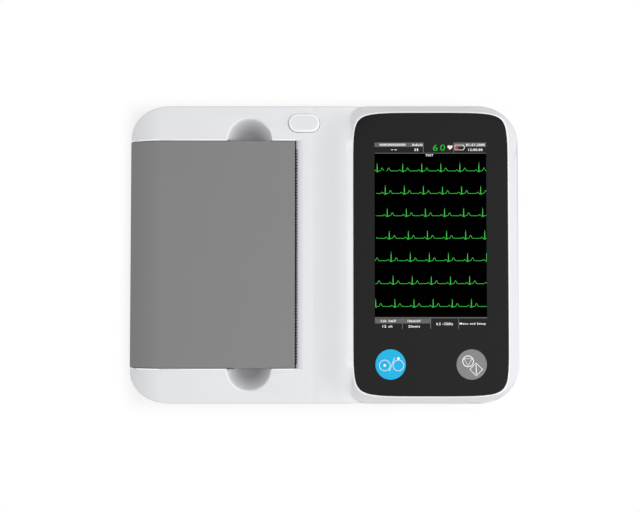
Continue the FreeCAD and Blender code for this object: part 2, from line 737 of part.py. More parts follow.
def fixed_knuckle(y0, y1):
    barrel = rod_y(HINGE_X, HINGE_Z, KNUCKLE_RADIUS, y0, y1)
    web = box(CASE_LEFT + LOWER_INSET, HINGE_X + 2, y0, y1, PARTING_HEIGHT - 10, HINGE_Z)
    bore = rod_y(HINGE_X, HINGE_Z, HINGE_PIN_RADIUS, y0 - 1, y1 + 1)
    return barrel.fuse(web).cut(bore)


def battery_bay():
    length, width, height = [size / 2 + BATTERY_GAP for size in BATTERY_SIZE]
    wall = BATTERY_WALL
    roof = FLOOR_TOP + 2 * height
    outer = box(BATTERY_X - length - wall, BATTERY_X + length + wall, BATTERY_Y - width - wall,
                BATTERY_Y + width + wall, FOOT_HEIGHT + 1, roof + wall)
    inner = box(BATTERY_X - length, BATTERY_X + length, BATTERY_Y - width, BATTERY_Y + width,
                FOOT_HEIGHT - 1, roof)
    return outer, inner


def door_place(extra):
    length, width = [size / 2 + BATTERY_GAP + DOOR_LAP for size in BATTERY_SIZE[:2]]
    return (BATTERY_X - length - extra, BATTERY_X + length + extra,
            BATTERY_Y - width - extra, BATTERY_Y + width + extra)


def door_screw_places():
    x0, x1 = door_place(DOOR_EAR)[:2]
    return [(x0, BATTERY_Y), (x1, BATTERY_Y)]


def floor_slots():
    slots = []
    for i in range(GRILLE_SLOTS):
        x = SPEAKER_X + (i - (GRILLE_SLOTS - 1) / 2) * GRILLE_PITCH
        half = math.sqrt(GRILLE_RADIUS ** 2 - (x - SPEAKER_X) ** 2)
        slots.append(box(x - 1, x + 1, SPEAKER_Y - half, SPEAKER_Y + half,
                         FOOT_HEIGHT - 1, FLOOR_TOP + 1))
    for i in range(VENT_SLOTS):
        x = POWER_BOARD[0] + VENT_INSET + i * VENT_PITCH
        slots.append(box(x - VENT_WIDTH / 2, x + VENT_WIDTH / 2, POWER_BOARD[2] + 30,
                         POWER_BOARD[2] + 80, FOOT_HEIGHT - 1, FLOOR_TOP + 1))
    return slots


def tapered_hull(inset, bottom):
    """Lower case block whose sides lean in towards its floor."""
    knee = FOOT_HEIGHT + LOWER_TAPER_HEIGHT
    share = (knee - bottom) / LOWER_TAPER_HEIGHT
    waist = case_outline(inset, knee)
    hull = Part.makeLoft([case_outline(inset + LOWER_TAPER * share, bottom), waist], True, True)
    return hull.fuse(extrude_z(waist, PARTING_HEIGHT - knee)).removeSplitter()


def lower_shell():
    inner = tapered_hull(LOWER_INSET + CASE_WALL, FLOOR_TOP)
    lift = extrude_z(case_outline(LOWER_INSET + CASE_WALL, PARTING_HEIGHT - 1), 2)
    return tapered_hull(LOWER_INSET, FOOT_HEIGHT), inner.fuse(lift)


def lower_case():
    outer, inner = lower_shell()
    bay_outer, bay_inner = battery_bay()
    added = [bay_outer]
    for x, y in post_places():
        added.append(rod_z(x, y, POST_RADIUS + 0.6, FLOOR_TOP - 1, PARTING_HEIGHT))
    for x, y in main_posts():
        added.append(rod_z(x, y, BOARD_POST_RADIUS, FLOOR_TOP - 1, MAIN_BOARD_HEIGHT))
    low_posts = board_posts(ECG_BOARD) + board_posts(POWER_BOARD) + chassis_posts()
    for x, y in low_posts:
        added.append(rod_z(x, y, BOARD_POST_RADIUS, FLOOR_TOP - 1, LOW_BOARD_HEIGHT))
    for x, y in door_screw_places():
        added.append(rod_z(x, y, BOARD_POST_RADIUS, FLOOR_TOP - 1, FLOOR_TOP + 9))
    cup_end = LOWER_BACK - GROUND_CUP_DEPTH - CASE_WALL
    added.append(rod_y(GROUND_X, INLET_Z, GROUND_CUP_RADIUS + CASE_WALL, cup_end, LOWER_BACK - 1))
    shell = outer.cut(inner).multiFuse(added)
    holes = [bay_inner] + inlet_cutouts() + floor_slots()
    holes.append(box(LEFT - 1, LEFT + 8, -OPENING_HALF, OPENING_HALF,
                     PARTING_HEIGHT - HINGE_RELIEF, PARTING_HEIGHT + 1))
    holes.append(rod_y(GROUND_X, INLET_Z, GROUND_CUP_RADIUS, LOWER_BACK - GROUND_CUP_DEPTH,
                       LOWER_BACK + 1))
    holes.append(rod_y(GROUND_X, INLET_Z, GROUND_PIN_RADIUS + SCREW_GAP, cup_end - 1, LOWER_BACK))
    holes.append(patient_block(PORT_GAP))
    x0, x1, y0, y1 = door_place(PORT_GAP)
    holes.append(box(x0, x1, y0, y1, FOOT_HEIGHT - 1, FOOT_HEIGHT + DOOR_SEAT))
    for x, y in post_places():
        holes.append(rod_z(x, y, SCREW_HEAD + BORE_GAP, FOOT_HEIGHT - 1, PARTING_HEIGHT - CASE_SCREW_DROP))
        holes.append(rod_z(x, y, SCREW_RADIUS + SCREW_GAP, FOOT_HEIGHT, PARTING_HEIGHT + 1))
    for x, y in main_posts():
        holes.append(rod_z(x, y, SMALL_SCREW_RADIUS + SCREW_GAP, MAIN_BOARD_HEIGHT - 8,
                           MAIN_BOARD_HEIGHT + 1))
    for x, y in low_posts:
        holes.append(rod_z(x, y, SMALL_SCREW_RADIUS + SCREW_GAP, FLOOR_TOP, LOW_BOARD_HEIGHT + 1))
    for x, y in door_screw_places():
        holes.append(rod_z(x, y, SMALL_SCREW_RADIUS + SCREW_GAP, FOOT_HEIGHT + 1, FLOOR_TOP + 7))
        holes.append(rod_z(x, y, 3.0, FOOT_HEIGHT - 1, FOOT_HEIGHT + DOOR_SEAT))
    for x in (-FOOT_X, FOOT_X):
        for y in (-FOOT_Y, FOOT_Y):
            holes.append(rod_z(x, y, FOOT_RADIUS, FOOT_HEIGHT - 1, FOOT_HEIGHT + FOOT_SEAT))
    knuckles = [fixed_knuckle(y0, y1) for y0, y1 in knuckle_spans()[0]]
    return shell.cut(holes).multiFuse(knuckles).removeSplitter()


def rubber_feet():
    feet = []
    for x in (-FOOT_X, FOOT_X):
        for y in (-FOOT_Y, FOOT_Y):
            foot = rod_z(x, y, FOOT_RADIUS, 0, FOOT_HEIGHT + FOOT_SEAT)
            rim = [edge for edge in foot.Edges if edge.BoundBox.ZMax < 0.01]
            feet.append(foot.makeChamfer(1.0, rim))
    return group(feet)


def outside_screw(x, y, seat, length, radius, head_radius, head_height):
    """Screw that goes in from below, with a round drive recess in its head."""
    low = seat - head_height
    shank = rod_z(x, y, radius, seat, seat + length)
    head = rod_z(x, y, head_radius, low, seat)
    return shank.fuse(head).cut(rod_z(x, y, radius, low - 1, low + head_height / 2))


def small_screw(x, y, seat, length):
    """Screw that goes in from above, or from below if its length is negative."""
    head = SMALL_SCREW_HEAD * 0.7 * (1 if length > 0 else -1)
    shank = rod_z(x, y, SMALL_SCREW_RADIUS, min(seat, seat - length), max(seat, seat - length))
    return shank.fuse(rod_z(x, y, SMALL_SCREW_HEAD, min(seat, seat + head), max(seat, seat + head)))


def case_screws():
    seat = PARTING_HEIGHT - CASE_SCREW_DROP
    return group([outside_screw(x, y, seat, CASE_SCREW_LENGTH, SCREW_RADIUS, SCREW_HEAD,
                                CASE_SCREW_HEAD_HEIGHT) for x, y in post_places()])


def battery_door():
    x0, x1, y0, y1 = door_place(0)
    top = FOOT_HEIGHT + DOOR_SEAT
    plate = box(x0, x1, y0, y1, top - DOOR_SHEET, top)
    grips = [box(x1 - 14 - i * GRIP_PITCH, x1 - 12.5 - i * GRIP_PITCH, BATTERY_Y - GRIP_HALF,
                 BATTERY_Y + GRIP_HALF, top - DOOR_SHEET - 1, top - DOOR_SHEET + GRIP_DEPTH)
             for i in range(GRIP_GROOVES)]
    ears = [rod_z(x, y, 2.8, top - DOOR_SHEET, top) for x, y in door_screw_places()]
    holes = [rod_z(x, y, SMALL_SCREW_HOLE, 0, top + 1) for x, y in door_screw_places()]
    return plate.multiFuse(ears).cut(grips + holes).removeSplitter()


def battery_door_screws():
    seat = FOOT_HEIGHT + DOOR_SEAT - DOOR_SHEET
    return group([outside_screw(x, y, seat, DOOR_SCREW_LENGTH, SMALL_SCREW_RADIUS, SMALL_SCREW_HEAD,
                                DOOR_SCREW_HEAD_HEIGHT) for x, y in door_screw_places()])


def battery_pack():
    length, width, height = BATTERY_SIZE
    pack = box(BATTERY_X - length / 2, BATTERY_X + length / 2, BATTERY_Y - width / 2,
               BATTERY_Y + width / 2, FOOT_HEIGHT + DOOR_SEAT, FOOT_HEIGHT + DOOR_SEAT + height)
    upright = [edge for edge in pack.Edges if abs(edge.tangentAt(edge.FirstParameter).z) > 0.9]
    return pack.makeFillet(4.0, upright)


def speaker():
    profile = [(0, 10.0), (9.0, 10.0), (9.0, 5.0), (12.0, 4.0), (18.5, 2.5), (SPEAKER_RADIUS, 2.5),
               (SPEAKER_RADIUS, 0.0), (17.0, 0.0), (12.0, 2.0), (5.0, 3.0), (0, 2.0)]
    points = [Vector(SPEAKER_X + r, SPEAKER_Y, FLOOR_TOP + z) for r, z in profile]
    face = Part.Face(Part.makePolygon(points + points[:1]))
    return face.revolve(Vector(SPEAKER_X, SPEAKER_Y, 0), Vector(0, 0, 1), 360)


# Display stack


def key_places():
    return [(PANEL_X - KEY_SPACING / 2, KEY_Y), (PANEL_X + KEY_SPACING / 2, KEY_Y)]


def touch_panel():
    glass = extrude_z(rim_outline(RIM_WIDTH, PANEL_BOTTOM), PANEL_THICKNESS)
    seats = [rod_z(x, y, KEY_RADIUS, PANEL_TOP - KEY_THICKNESS, PANEL_TOP + 1) for x, y in key_places()]
    return glass.cut(seats)


def touch_key(index):
    x, y = key_places()[index]
    return rod_z(x, y, KEY_RADIUS - RUNNING_GAP, PANEL_TOP - KEY_THICKNESS, PANEL_TOP)


def power_key():
    return touch_key(0)


def start_key():
    return touch_key(1)


def screen_box(border, z0, z1):
    return box(PANEL_X - SCREEN_WIDTH / 2 - border, PANEL_X + SCREEN_WIDTH / 2 + border,
               SCREEN_Y - SCREEN_DEPTH / 2 - border, SCREEN_Y + SCREEN_DEPTH / 2 + border, z0, z1)


def display_seal():
    ring = screen_box(MODULE_BORDER - 1, POD_CEILING - SEAL_THICKNESS, POD_CEILING)
    return ring.cut(screen_box(3, 0, RIM_HEIGHT))


def module_top():
    return POD_CEILING - SEAL_THICKNESS


def display_module():
    top = module_top()
    frame = screen_box(MODULE_BORDER, top - MODULE_THICKNESS, top)
    return frame.cut(screen_box(0, top - 0.8, top + 1))


def bracket_screw_places():
    x = SCREEN_WIDTH / 2 + MODULE_BORDER + 6
    y = SCREEN_DEPTH / 2 - 20
    return [(PANEL_X + sx * x, SCREEN_Y + sy * y) for sx in (-1, 1) for sy in (-1, 1)]


def display_bracket():
    bottom = module_top() - MODULE_THICKNESS - BRACKET_SHEET
    plate = screen_box(MODULE_BORDER, bottom, bottom + BRACKET_SHEET)
    window = screen_box(-16, bottom - 1, bottom + BRACKET_SHEET + 1)
    bar = box(PANEL_X - SCREEN_WIDTH / 2, PANEL_X + SCREEN_WIDTH / 2, SCREEN_Y - 12, SCREEN_Y + 12,
              bottom, bottom + BRACKET_SHEET)
    plate = plate.cut(window).fuse(bar)
    ears, holes = [], []
    for x, y in bracket_screw_places():
        ears.append(box(x - 9, x + 9, y - 6, y + 6, bottom, bottom + BRACKET_SHEET))
        ears.append(rod_z(x, y, 4.0, bottom, POD_CEILING))
        holes.append(rod_z(x, y, SMALL_SCREW_RADIUS + SCREW_GAP, bottom - 1, POD_CEILING - 1.5))
    inside = screen_box(MODULE_BORDER, bottom + BRACKET_SHEET, RIM_HEIGHT)
    return plate.multiFuse(ears).cut(holes + [inside]).removeSplitter()


def display_bracket_screws():
    seat = module_top() - MODULE_THICKNESS - BRACKET_SHEET
    return group([small_screw(x, y, seat, -6) for x, y in bracket_screw_places()])


def touch_key_board():
    reach = KEY_SPACING / 2 + KEY_RADIUS + 2
    return box(PANEL_X - reach, PANEL_X + reach, KEY_Y - 13, KEY_Y + 13,
               POD_CEILING - BOARD_SHEET, POD_CEILING)


# Circuit boards


def drilled_board(board, places, z):
    x0, x1, y0, y1 = board
    plate = box(x0, x1, y0, y1, z, z + BOARD_SHEET)
    return plate.cut([rod_z(x, y, SMALL_SCREW_HOLE, z - 1, z + BOARD_SHEET + 1) for x, y in places])


def main_board():
    return drilled_board(MAIN_BOARD, main_posts(), MAIN_BOARD_HEIGHT)


def main_board_chips():
    z = MAIN_BOARD_HEIGHT + BOARD_SHEET
    left = MAIN_BOARD[0]
    chips = []
    for dx, y, width, depth, height in ((50, 0, 27, 27, 2.2), (90, 10, 18, 12, 1.2),
                                        (90, -14, 18, 12, 1.2), (25, 60, 14, 14, 1.6),
                                        (60, -60, 40, 6, 5.0), (120, -40, 22, 8, 6.0),
                                        (120, 60, 12, 12, 4.0)):
        x = left + dx
        chips.append(box(x - width / 2, x + width / 2, y - depth / 2, y + depth / 2, z, z + height))
    return group(chips)


def power_board():
    return drilled_board(POWER_BOARD, board_posts(POWER_BOARD), LOW_BOARD_HEIGHT)


def power_board_parts():
    """Transformer, filter, heat sink, relay and capacitors."""
    z = LOW_BOARD_HEIGHT + BOARD_SHEET
    left, front = POWER_BOARD[0], POWER_BOARD[2]
    parts = []
    for dx, dy, width, depth, height in ((20, 20, 28, 28, 22), (4, 66, 26, 20, 14),
                                         (44, 62, 26, 2, 20), (10, 12, 10, 8, 10)):
        x, y = left + dx, front + dy
        parts.append(box(x, x + width, y, y + depth, z, z + height))
    for dx, dy in ((58, 14), (58, 34), (42, 96)):
        parts.append(rod_z(left + dx, front + dy, 6.5, z, z + 20))
    return group(parts)


def ecg_board():
    return drilled_board(ECG_BOARD, board_posts(ECG_BOARD), LOW_BOARD_HEIGHT)


def ecg_shield():
    z = LOW_BOARD_HEIGHT + BOARD_SHEET
    x0, x1, y0, y1 = ECG_BOARD
    outer = box(x0 + 12, x1 - 14, y0 + 12, y1 - 12, z, z + 10)
    return outer.cut(box(x0 + 12.6, x1 - 14.6, y0 + 12.6, y1 - 12.6, z - 1, z + 9.4))


def board_screws():
    screws = [small_screw(x, y, MAIN_BOARD_HEIGHT + BOARD_SHEET, 7)
              for x, y in main_posts()]
    for x, y in board_posts(ECG_BOARD) + board_posts(POWER_BOARD):
        screws.append(small_screw(x, y, LOW_BOARD_HEIGHT + BOARD_SHEET, 6))
    return group(screws)


# Printer cover, which carries the tear bar and the platen


def cover_skin():
    end = TOP_HEIGHT - ROLL_DROP
    inner_left = LEFT + COVER_SKIN
    share = (ROLL_START - inner_left) / ROLL_LENGTH
    inner_end = COVER_BOTTOM - ROLL_DROP * share * share
    foot = PARTING_HEIGHT + SKIRT_LIFT
    edge, r = COVER_RIGHT, COVER_EDGE_ROUND
    bend = r * (1 - math.sqrt(0.5))
    wire = Part.Wire([
        line(Vector(LEFT, 0, foot), Vector(LEFT, 0, end)),
        parabola(ROLL_START, LEFT, TOP_HEIGHT, end),
        line(Vector(ROLL_START, 0, TOP_HEIGHT), Vector(edge - r, 0, TOP_HEIGHT)),
        arc(Vector(edge - r, 0, TOP_HEIGHT), Vector(edge - bend, 0, TOP_HEIGHT - bend),
            Vector(edge, 0, TOP_HEIGHT - r)),
        line(Vector(edge, 0, TOP_HEIGHT - r), Vector(edge, 0, COVER_BOTTOM)),
        line(Vector(edge, 0, COVER_BOTTOM), Vector(ROLL_START, 0, COVER_BOTTOM)),
        parabola(ROLL_START, inner_left, COVER_BOTTOM, inner_end),
        line(Vector(inner_left, 0, inner_end), Vector(inner_left, 0, foot)),
        line(Vector(inner_left, 0, foot), Vector(LEFT, 0, foot)),
    ])
    skin = extrude_y(wire, -COVER_HALF, COVER_HALF)
    corner = [e for e in skin.Edges if e.BoundBox.YLength > COVER_HALF
              and abs(e.CenterOfMass.x - LEFT) < 0.01 and abs(e.CenterOfMass.z - end) < 0.01]
    return skin.makeFillet(SKIRT_CORNER_ROUND, corner)


def tear_bar_span():
    return -COVER_HALF + TEAR_BAR_FRONT, COVER_HALF - TEAR_BAR_BACK


def printer_cover():
    fixed, moving = knuckle_spans()
    skin = cover_skin()
    notches = [box(LEFT - 1, HINGE_X + KNUCKLE_RADIUS, y0 - KNUCKLE_GAP, y1 + KNUCKLE_GAP,
                   PARTING_HEIGHT - 1, HINGE_Z + KNUCKLE_RADIUS + 0.7) for y0, y1 in fixed]
    barrels = [rod_y(HINGE_X, HINGE_Z, KNUCKLE_RADIUS, y0, y1) for y0, y1 in moving]
    bores = [rod_y(HINGE_X, HINGE_Z, HINGE_PIN_RADIUS + RUNNING_GAP, y0 - 1, y1 + 1)
             for y0, y1 in moving]
    front, back = tear_bar_span()
    z = COVER_BOTTOM + TEAR_BAR_RISE
    groove = box(COVER_RIGHT - TEAR_BAR_SEAT, COVER_RIGHT + 1, front, back, z, z + TEAR_BAR_THICKNESS)
    return skin.cut(notches).multiFuse(barrels).cut(bores + [groove]).removeSplitter()


def tear_bar():
    front, back = tear_bar_span()
    root = COVER_RIGHT + TEAR_BAR_REACH - TOOTH_DEPTH
    teeth = int((back - front) / TOOTH_PITCH)
    pitch = (back - front) / teeth
    z = COVER_BOTTOM + TEAR_BAR_RISE
    points = [Vector(COVER_RIGHT - TEAR_BAR_SEAT, front, z), Vector(root, front, z)]
    for i in range(teeth):
        points.append(Vector(root + TOOTH_DEPTH, front + (i + 0.5) * pitch, z))
        points.append(Vector(root, front + (i + 1) * pitch, z))
    points.append(Vector(COVER_RIGHT - TEAR_BAR_SEAT, back, z))
    return extrude_z(Part.makePolygon(points + points[:1]), TEAR_BAR_THICKNESS)


def cover_frame():
    z0, z1 = COVER_BOTTOM - FRAME_SHEET, COVER_BOTTOM
    inner = TRAY_Y - 0.8
    arm_left, arm_right = PLATEN_X - ARM_RADIUS, PLATEN_X + ARM_RADIUS
    left = ROLL_START + 5
    plates = [box(left, arm_left, -inner, inner, z0, z1),
              box(arm_left - 1, COVER_RIGHT - 1.5, -ARM_Y - ARM_THICKNESS, ARM_Y + ARM_THICKNESS, z0, z1)]
    for i in range(FRAME_RIBS):
        y = inner * 0.8 * (2 * i / (FRAME_RIBS - 1) - 1)
        plates.append(box(left + 10, arm_left - 6, y - 0.8, y + 0.8, z0 - FRAME_RIB_HEIGHT, z0))
    leg = box(arm_left, arm_right, ARM_Y, ARM_Y + ARM_THICKNESS, PLATEN_Z, z0)
    foot = rod_y(PLATEN_X, PLATEN_Z, ARM_RADIUS, ARM_Y, ARM_Y + ARM_THICKNESS)
    bore = rod_y(PLATEN_X, PLATEN_Z, SHAFT_RADIUS + RUNNING_GAP + BUSH_WALL, ARM_Y - 1, ARM_Y + 5)
    arm = leg.fuse(foot).cut(bore)
    return join(plates + both_sides(arm))


def platen_bushes():
    tube = rod_y(PLATEN_X, PLATEN_Z, SHAFT_RADIUS + RUNNING_GAP + BUSH_WALL - 0.05, ARM_Y,
                 ARM_Y + ARM_THICKNESS)
    bore = rod_y(PLATEN_X, PLATEN_Z, SHAFT_RADIUS + RUNNING_GAP, ARM_Y - 1, ARM_Y + 5)
    return group(both_sides(tube.cut(bore)))


def platen_shaft():
    return rod_y(PLATEN_X, PLATEN_Z, SHAFT_RADIUS, -GEAR_Y - GEAR_FACE, ARM_Y + ARM_THICKNESS + 1)


def platen_roller():
    rubber = rod_y(PLATEN_X, PLATEN_Z, PLATEN_RADIUS, -ROLLER_HALF, ROLLER_HALF)
    return rubber.cut(rod_y(PLATEN_X, PLATEN_Z, SHAFT_RADIUS + 0.02, -ROLLER_HALF - 1, ROLLER_HALF + 1))


def hinge_pins():
    pins = []
    half = KNUCKLE_LENGTH / 2 + KNUCKLE_GAP + KNUCKLE_OUTER
    for side in (-1, 1):
        middle = side * HINGE_SPACING / 2
        pins.append(rod_y(HINGE_X, HINGE_Z, HINGE_PIN_RADIUS - 0.02, middle - half, middle + half))
    return group(pins)


# Gears, drawn about a centre in the XZ plane


def gear_blank(x, z, teeth, phase, bore):
    """Spur gear with one tooth centred at the angle phase, in radians from +X towards +Z."""
    pitch = GEAR_MODULE * teeth / 2
    base = pitch * math.cos(math.radians(20))
    tip, root = pitch + 0.9 * GEAR_MODULE, pitch - 1.2 * GEAR_MODULE

    def half_angle(radius):
        def involute(r):
            slope = math.acos(min(base / r, 1.0))
            return math.tan(slope) - slope
        at_pitch = math.pi / (2 * teeth) - GEAR_BACKLASH / (2 * pitch)
        return at_pitch + involute(pitch) - involute(max(radius, base))

    def spot(radius, angle):
        return Vector(x + radius * math.cos(angle), 0, z + radius * math.sin(angle))

    edges = []
    step = 2 * math.pi / teeth
    for i in range(teeth):
        middle = phase + i * step
        rise = [spot(r, middle - half_angle(r)) for r in (root, pitch, tip)]
        fall = [spot(r, middle + half_angle(r)) for r in (tip, pitch, root)]
        after = spot(root, middle + step - half_angle(root))
        edges += [arc(*rise), line(rise[2], fall[0]), arc(*fall), line(fall[2], after)]
    gear = extrude_y(Part.Wire(edges), -GEAR_Y - GEAR_FACE, -GEAR_Y)
    return gear.cut(rod_y(x, z, bore, -GEAR_Y - GEAR_FACE - 1, -GEAR_Y + 1))


def beside(x, z, direction, distance):
    angle = math.radians(direction)
    return x + distance * math.cos(angle), z + distance * math.sin(angle)


def meshing_phase(direction, phase, teeth, other_teeth):
    """Tooth angle of a gear that meshes with one at phase, lying in direction from it."""
    angle = math.radians(direction)
    return angle + math.pi - (phase - angle) * teeth / other_teeth + math.pi / other_teeth


IDLER_X, IDLER_Z = beside(PLATEN_X, PLATEN_Z, IDLER_DIRECTION,
                          GEAR_MODULE * (PLATEN_TEETH + IDLER_TEETH) / 2)
MOTOR_X, MOTOR_Z = beside(IDLER_X, IDLER_Z, MOTOR_DIRECTION,
                          GEAR_MODULE * (IDLER_TEETH + PINION_TEETH) / 2)
IDLER_PHASE = meshing_phase(IDLER_DIRECTION, 0.0, PLATEN_TEETH, IDLER_TEETH)
PINION_PHASE = meshing_phase(MOTOR_DIRECTION, IDLER_PHASE, IDLER_TEETH, PINION_TEETH)


def platen_gear():
    return gear_blank(PLATEN_X, PLATEN_Z, PLATEN_TEETH, 0.0, SHAFT_RADIUS + 0.02)


def idler_gear():
    gear = gear_blank(IDLER_X, IDLER_Z, IDLER_TEETH, IDLER_PHASE, IDLER_PIN_RADIUS + RUNNING_GAP)
    holes = []
    for i in range(5):
        x, z = beside(IDLER_X, IDLER_Z, 72 * i, 8.2)
        holes.append(rod_y(x, z, 2.6, -GEAR_Y - GEAR_FACE - 1, -GEAR_Y + 1))
    return gear.cut(holes)


def motor_pinion():
    return gear_blank(MOTOR_X, MOTOR_Z, PINION_TEETH, PINION_PHASE, MOTOR_SHAFT_RADIUS + 0.02)


def motor_shaft():
    return rod_y(MOTOR_X, MOTOR_Z, MOTOR_SHAFT_RADIUS, -PLATE_Y - CHASSIS_SHEET - MOTOR_LENGTH / 2, -GEAR_Y)


def stepper_motor():
    back = -PLATE_Y - CHASSIS_SHEET
    can = rod_y(MOTOR_X, MOTOR_Z, MOTOR_RADIUS, back - MOTOR_LENGTH, back)
    tabs = [box(MOTOR_X - MOTOR_RADIUS - 4, MOTOR_X + MOTOR_RADIUS + 4, back - 1.0, back,
                MOTOR_Z - 4, MOTOR_Z + 4)]
    bore = rod_y(MOTOR_X, MOTOR_Z, MOTOR_SHAFT_RADIUS + RUNNING_GAP, back - MOTOR_LENGTH / 2 - 0.3, 0)
    return can.multiFuse(tabs).cut(bore).removeSplitter()


def idler_pin():
    return rod_y(IDLER_X, IDLER_Z, IDLER_PIN_RADIUS, -PLATE_Y, -GEAR_Y + 0.6)


# Print head, pressed against the platen from the right


def nip_point(along, behind):
    """Point in XZ measured from the nip, along the head and away from the platen."""
    angle = math.radians(NIP_ANGLE)
    reach = PLATEN_RADIUS + NIP_GAP + behind
    return (PLATEN_X + reach * math.cos(angle) - along * math.sin(angle),
            PLATEN_Z + reach * math.sin(angle) + along * math.cos(angle))


HEAD_ROD_X, HEAD_ROD_Z = nip_point(-HEAD_ROD_BELOW, HEAD_ROD_BEHIND)


def head_slab(below, above, near, far):
    corners = [nip_point(-below, near), nip_point(above, near), nip_point(above, far),
               nip_point(-below, far)]
    return extrude_y(polygon_xz(corners), -HEAD_HALF, HEAD_HALF)


def print_head():
    return head_slab(HEAD_BELOW - 3, HEAD_ABOVE - 1, 0, HEAD_SUBSTRATE)


def head_heat_sink():
    slab = head_slab(HEAD_BELOW, HEAD_ABOVE, HEAD_SUBSTRATE, HEAD_SUBSTRATE + HEAD_SINK)
    boss = rod_y(HEAD_ROD_X, HEAD_ROD_Z, HEAD_ROD_RADIUS + 2, -HEAD_HALF, HEAD_HALF)
    bore = rod_y(HEAD_ROD_X, HEAD_ROD_Z, HEAD_ROD_RADIUS + RUNNING_GAP, -HEAD_HALF - 1, HEAD_HALF + 1)
    return slab.fuse(boss).cut(bore).removeSplitter()


def head_pivot_rod():
    reach = PLATE_Y + CHASSIS_SHEET + 1
    return rod_y(HEAD_ROD_X, HEAD_ROD_Z, HEAD_ROD_RADIUS, -reach, reach)


def head_springs():
    """Leaf springs from the chassis wall to the back of the heat sink."""
    wall = CHASSIS_RIGHT - CHASSIS_SHEET
    tip_x, tip_z = nip_point(HEAD_ABOVE - 2, HEAD_SUBSTRATE + HEAD_SINK + 0.35)
    thick = 0.6
    outline = polygon_xz([(wall, CHASSIS_FLOOR + 8), (wall, CHASSIS_FLOOR + 20), (tip_x + 0.4, tip_z + thick),
                          (tip_x, tip_z), (wall - thick, CHASSIS_FLOOR + 19.6),
                          (wall - thick, CHASSIS_FLOOR + 8)])
    return group([extrude_y(outline, y - 7, y + 7) for y in (-70, 0, 70)])


def print_chassis():
    reach = PLATE_Y + CHASSIS_SHEET
    sheet, floor = CHASSIS_SHEET, CHASSIS_FLOOR
    base = box(CHASSIS_LEFT, CHASSIS_RIGHT, -reach, reach, floor, floor + sheet)
    wall = box(CHASSIS_RIGHT - sheet, CHASSIS_RIGHT, -reach, reach, floor, PLATEN_Z - 4)
    low = PARTING_HEIGHT - 1
    plate_top = TOP_HEIGHT - LIP_DEPTH - 1
    plate_left = SCOOP_X + PLATE_FROM_SCOOP
    side = extrude_y(polygon_xz([(CHASSIS_LEFT, floor), (CHASSIS_RIGHT, floor),
                                 (CHASSIS_RIGHT, PLATEN_Z - 4), (PLATEN_X + 14, plate_top),
                                 (plate_left, plate_top), (plate_left, low),
                                 (CHASSIS_LEFT, low)]), PLATE_Y, reach)
    wing = box(MOTOR_X - MOTOR_RADIUS - 6, CHASSIS_LEFT + 1, -reach, -PLATE_Y, floor, low)
    holes = [rod_y(LATCH_X, LATCH_Z, LATCH_SHAFT_RADIUS + RUNNING_GAP, -reach - 1, reach + 1),
             rod_y(HEAD_ROD_X, HEAD_ROD_Z, HEAD_ROD_RADIUS, -reach - 1, reach + 1),
             rod_y(MOTOR_X, MOTOR_Z, 7.5, -reach - 1, -PLATE_Y + 1),
             rod_y(IDLER_X, IDLER_Z, GEAR_MODULE * (IDLER_TEETH / 2 + 1) + SIDE_GAP,
                   -GEAR_Y - GEAR_FACE - SIDE_GAP, -GEAR_Y + SIDE_GAP)]
    for x, y in chassis_posts():
        holes.append(rod_z(x, y, SMALL_SCREW_HOLE, floor - 1, floor + sheet + 1))
    return join([base, wall, wing] + both_sides(side)).cut(holes)


def chassis_screws():
    seat = CHASSIS_FLOOR + CHASSIS_SHEET
    return group([small_screw(x, y, seat, 6) for x, y in chassis_posts()])


# Paper tray and paper


def paper_tray():
    floor = TRAY_FLOOR
    outer = TRAY_Y + TRAY_SIDE_WALL
    rest = COVER_BOTTOM - TRAY_TOP_GAP
    plates = [box(TRAY_LEFT, TRAY_RIGHT, -outer, outer, floor, floor + TRAY_SHEET),
              box(TRAY_LEFT, TRAY_LEFT + TRAY_SHEET, -outer, outer, floor, rest - 12),
              box(TRAY_RIGHT - TRAY_SHEET, TRAY_RIGHT, -TRAY_Y, TRAY_Y, floor, PAPER_TOP - 4)]
    side = box(TRAY_LEFT, TRAY_SIDE_END, TRAY_Y, outer, floor, rest)
    step = box(TRAY_SIDE_END - 16, TRAY_SIDE_END + 1, TRAY_Y - 1, outer + 1, rest - 4, rest + 1)
    plates += both_sides(side.cut(step))
    for x in (TRAY_LEFT + 20, TRAY_SIDE_END - 20):
        for y in (-outer + 20, outer - 20):
            plates.append(rod_z(x, y, TRAY_LEG_RADIUS, FLOOR_TOP, floor))
    tray = join(plates)
    return tray.common(under_top(COVER_SKIN + TRAY_TOP_GAP, RIGHT, 0)).removeSplitter()


def chart_paper():
    gap = PAPER_FOLD_CLEARANCE
    return box(TRAY_LEFT + TRAY_SHEET + gap, TRAY_RIGHT - TRAY_SHEET - gap, -PAPER_HALF, PAPER_HALF,
               TRAY_FLOOR + TRAY_SHEET, PAPER_TOP)


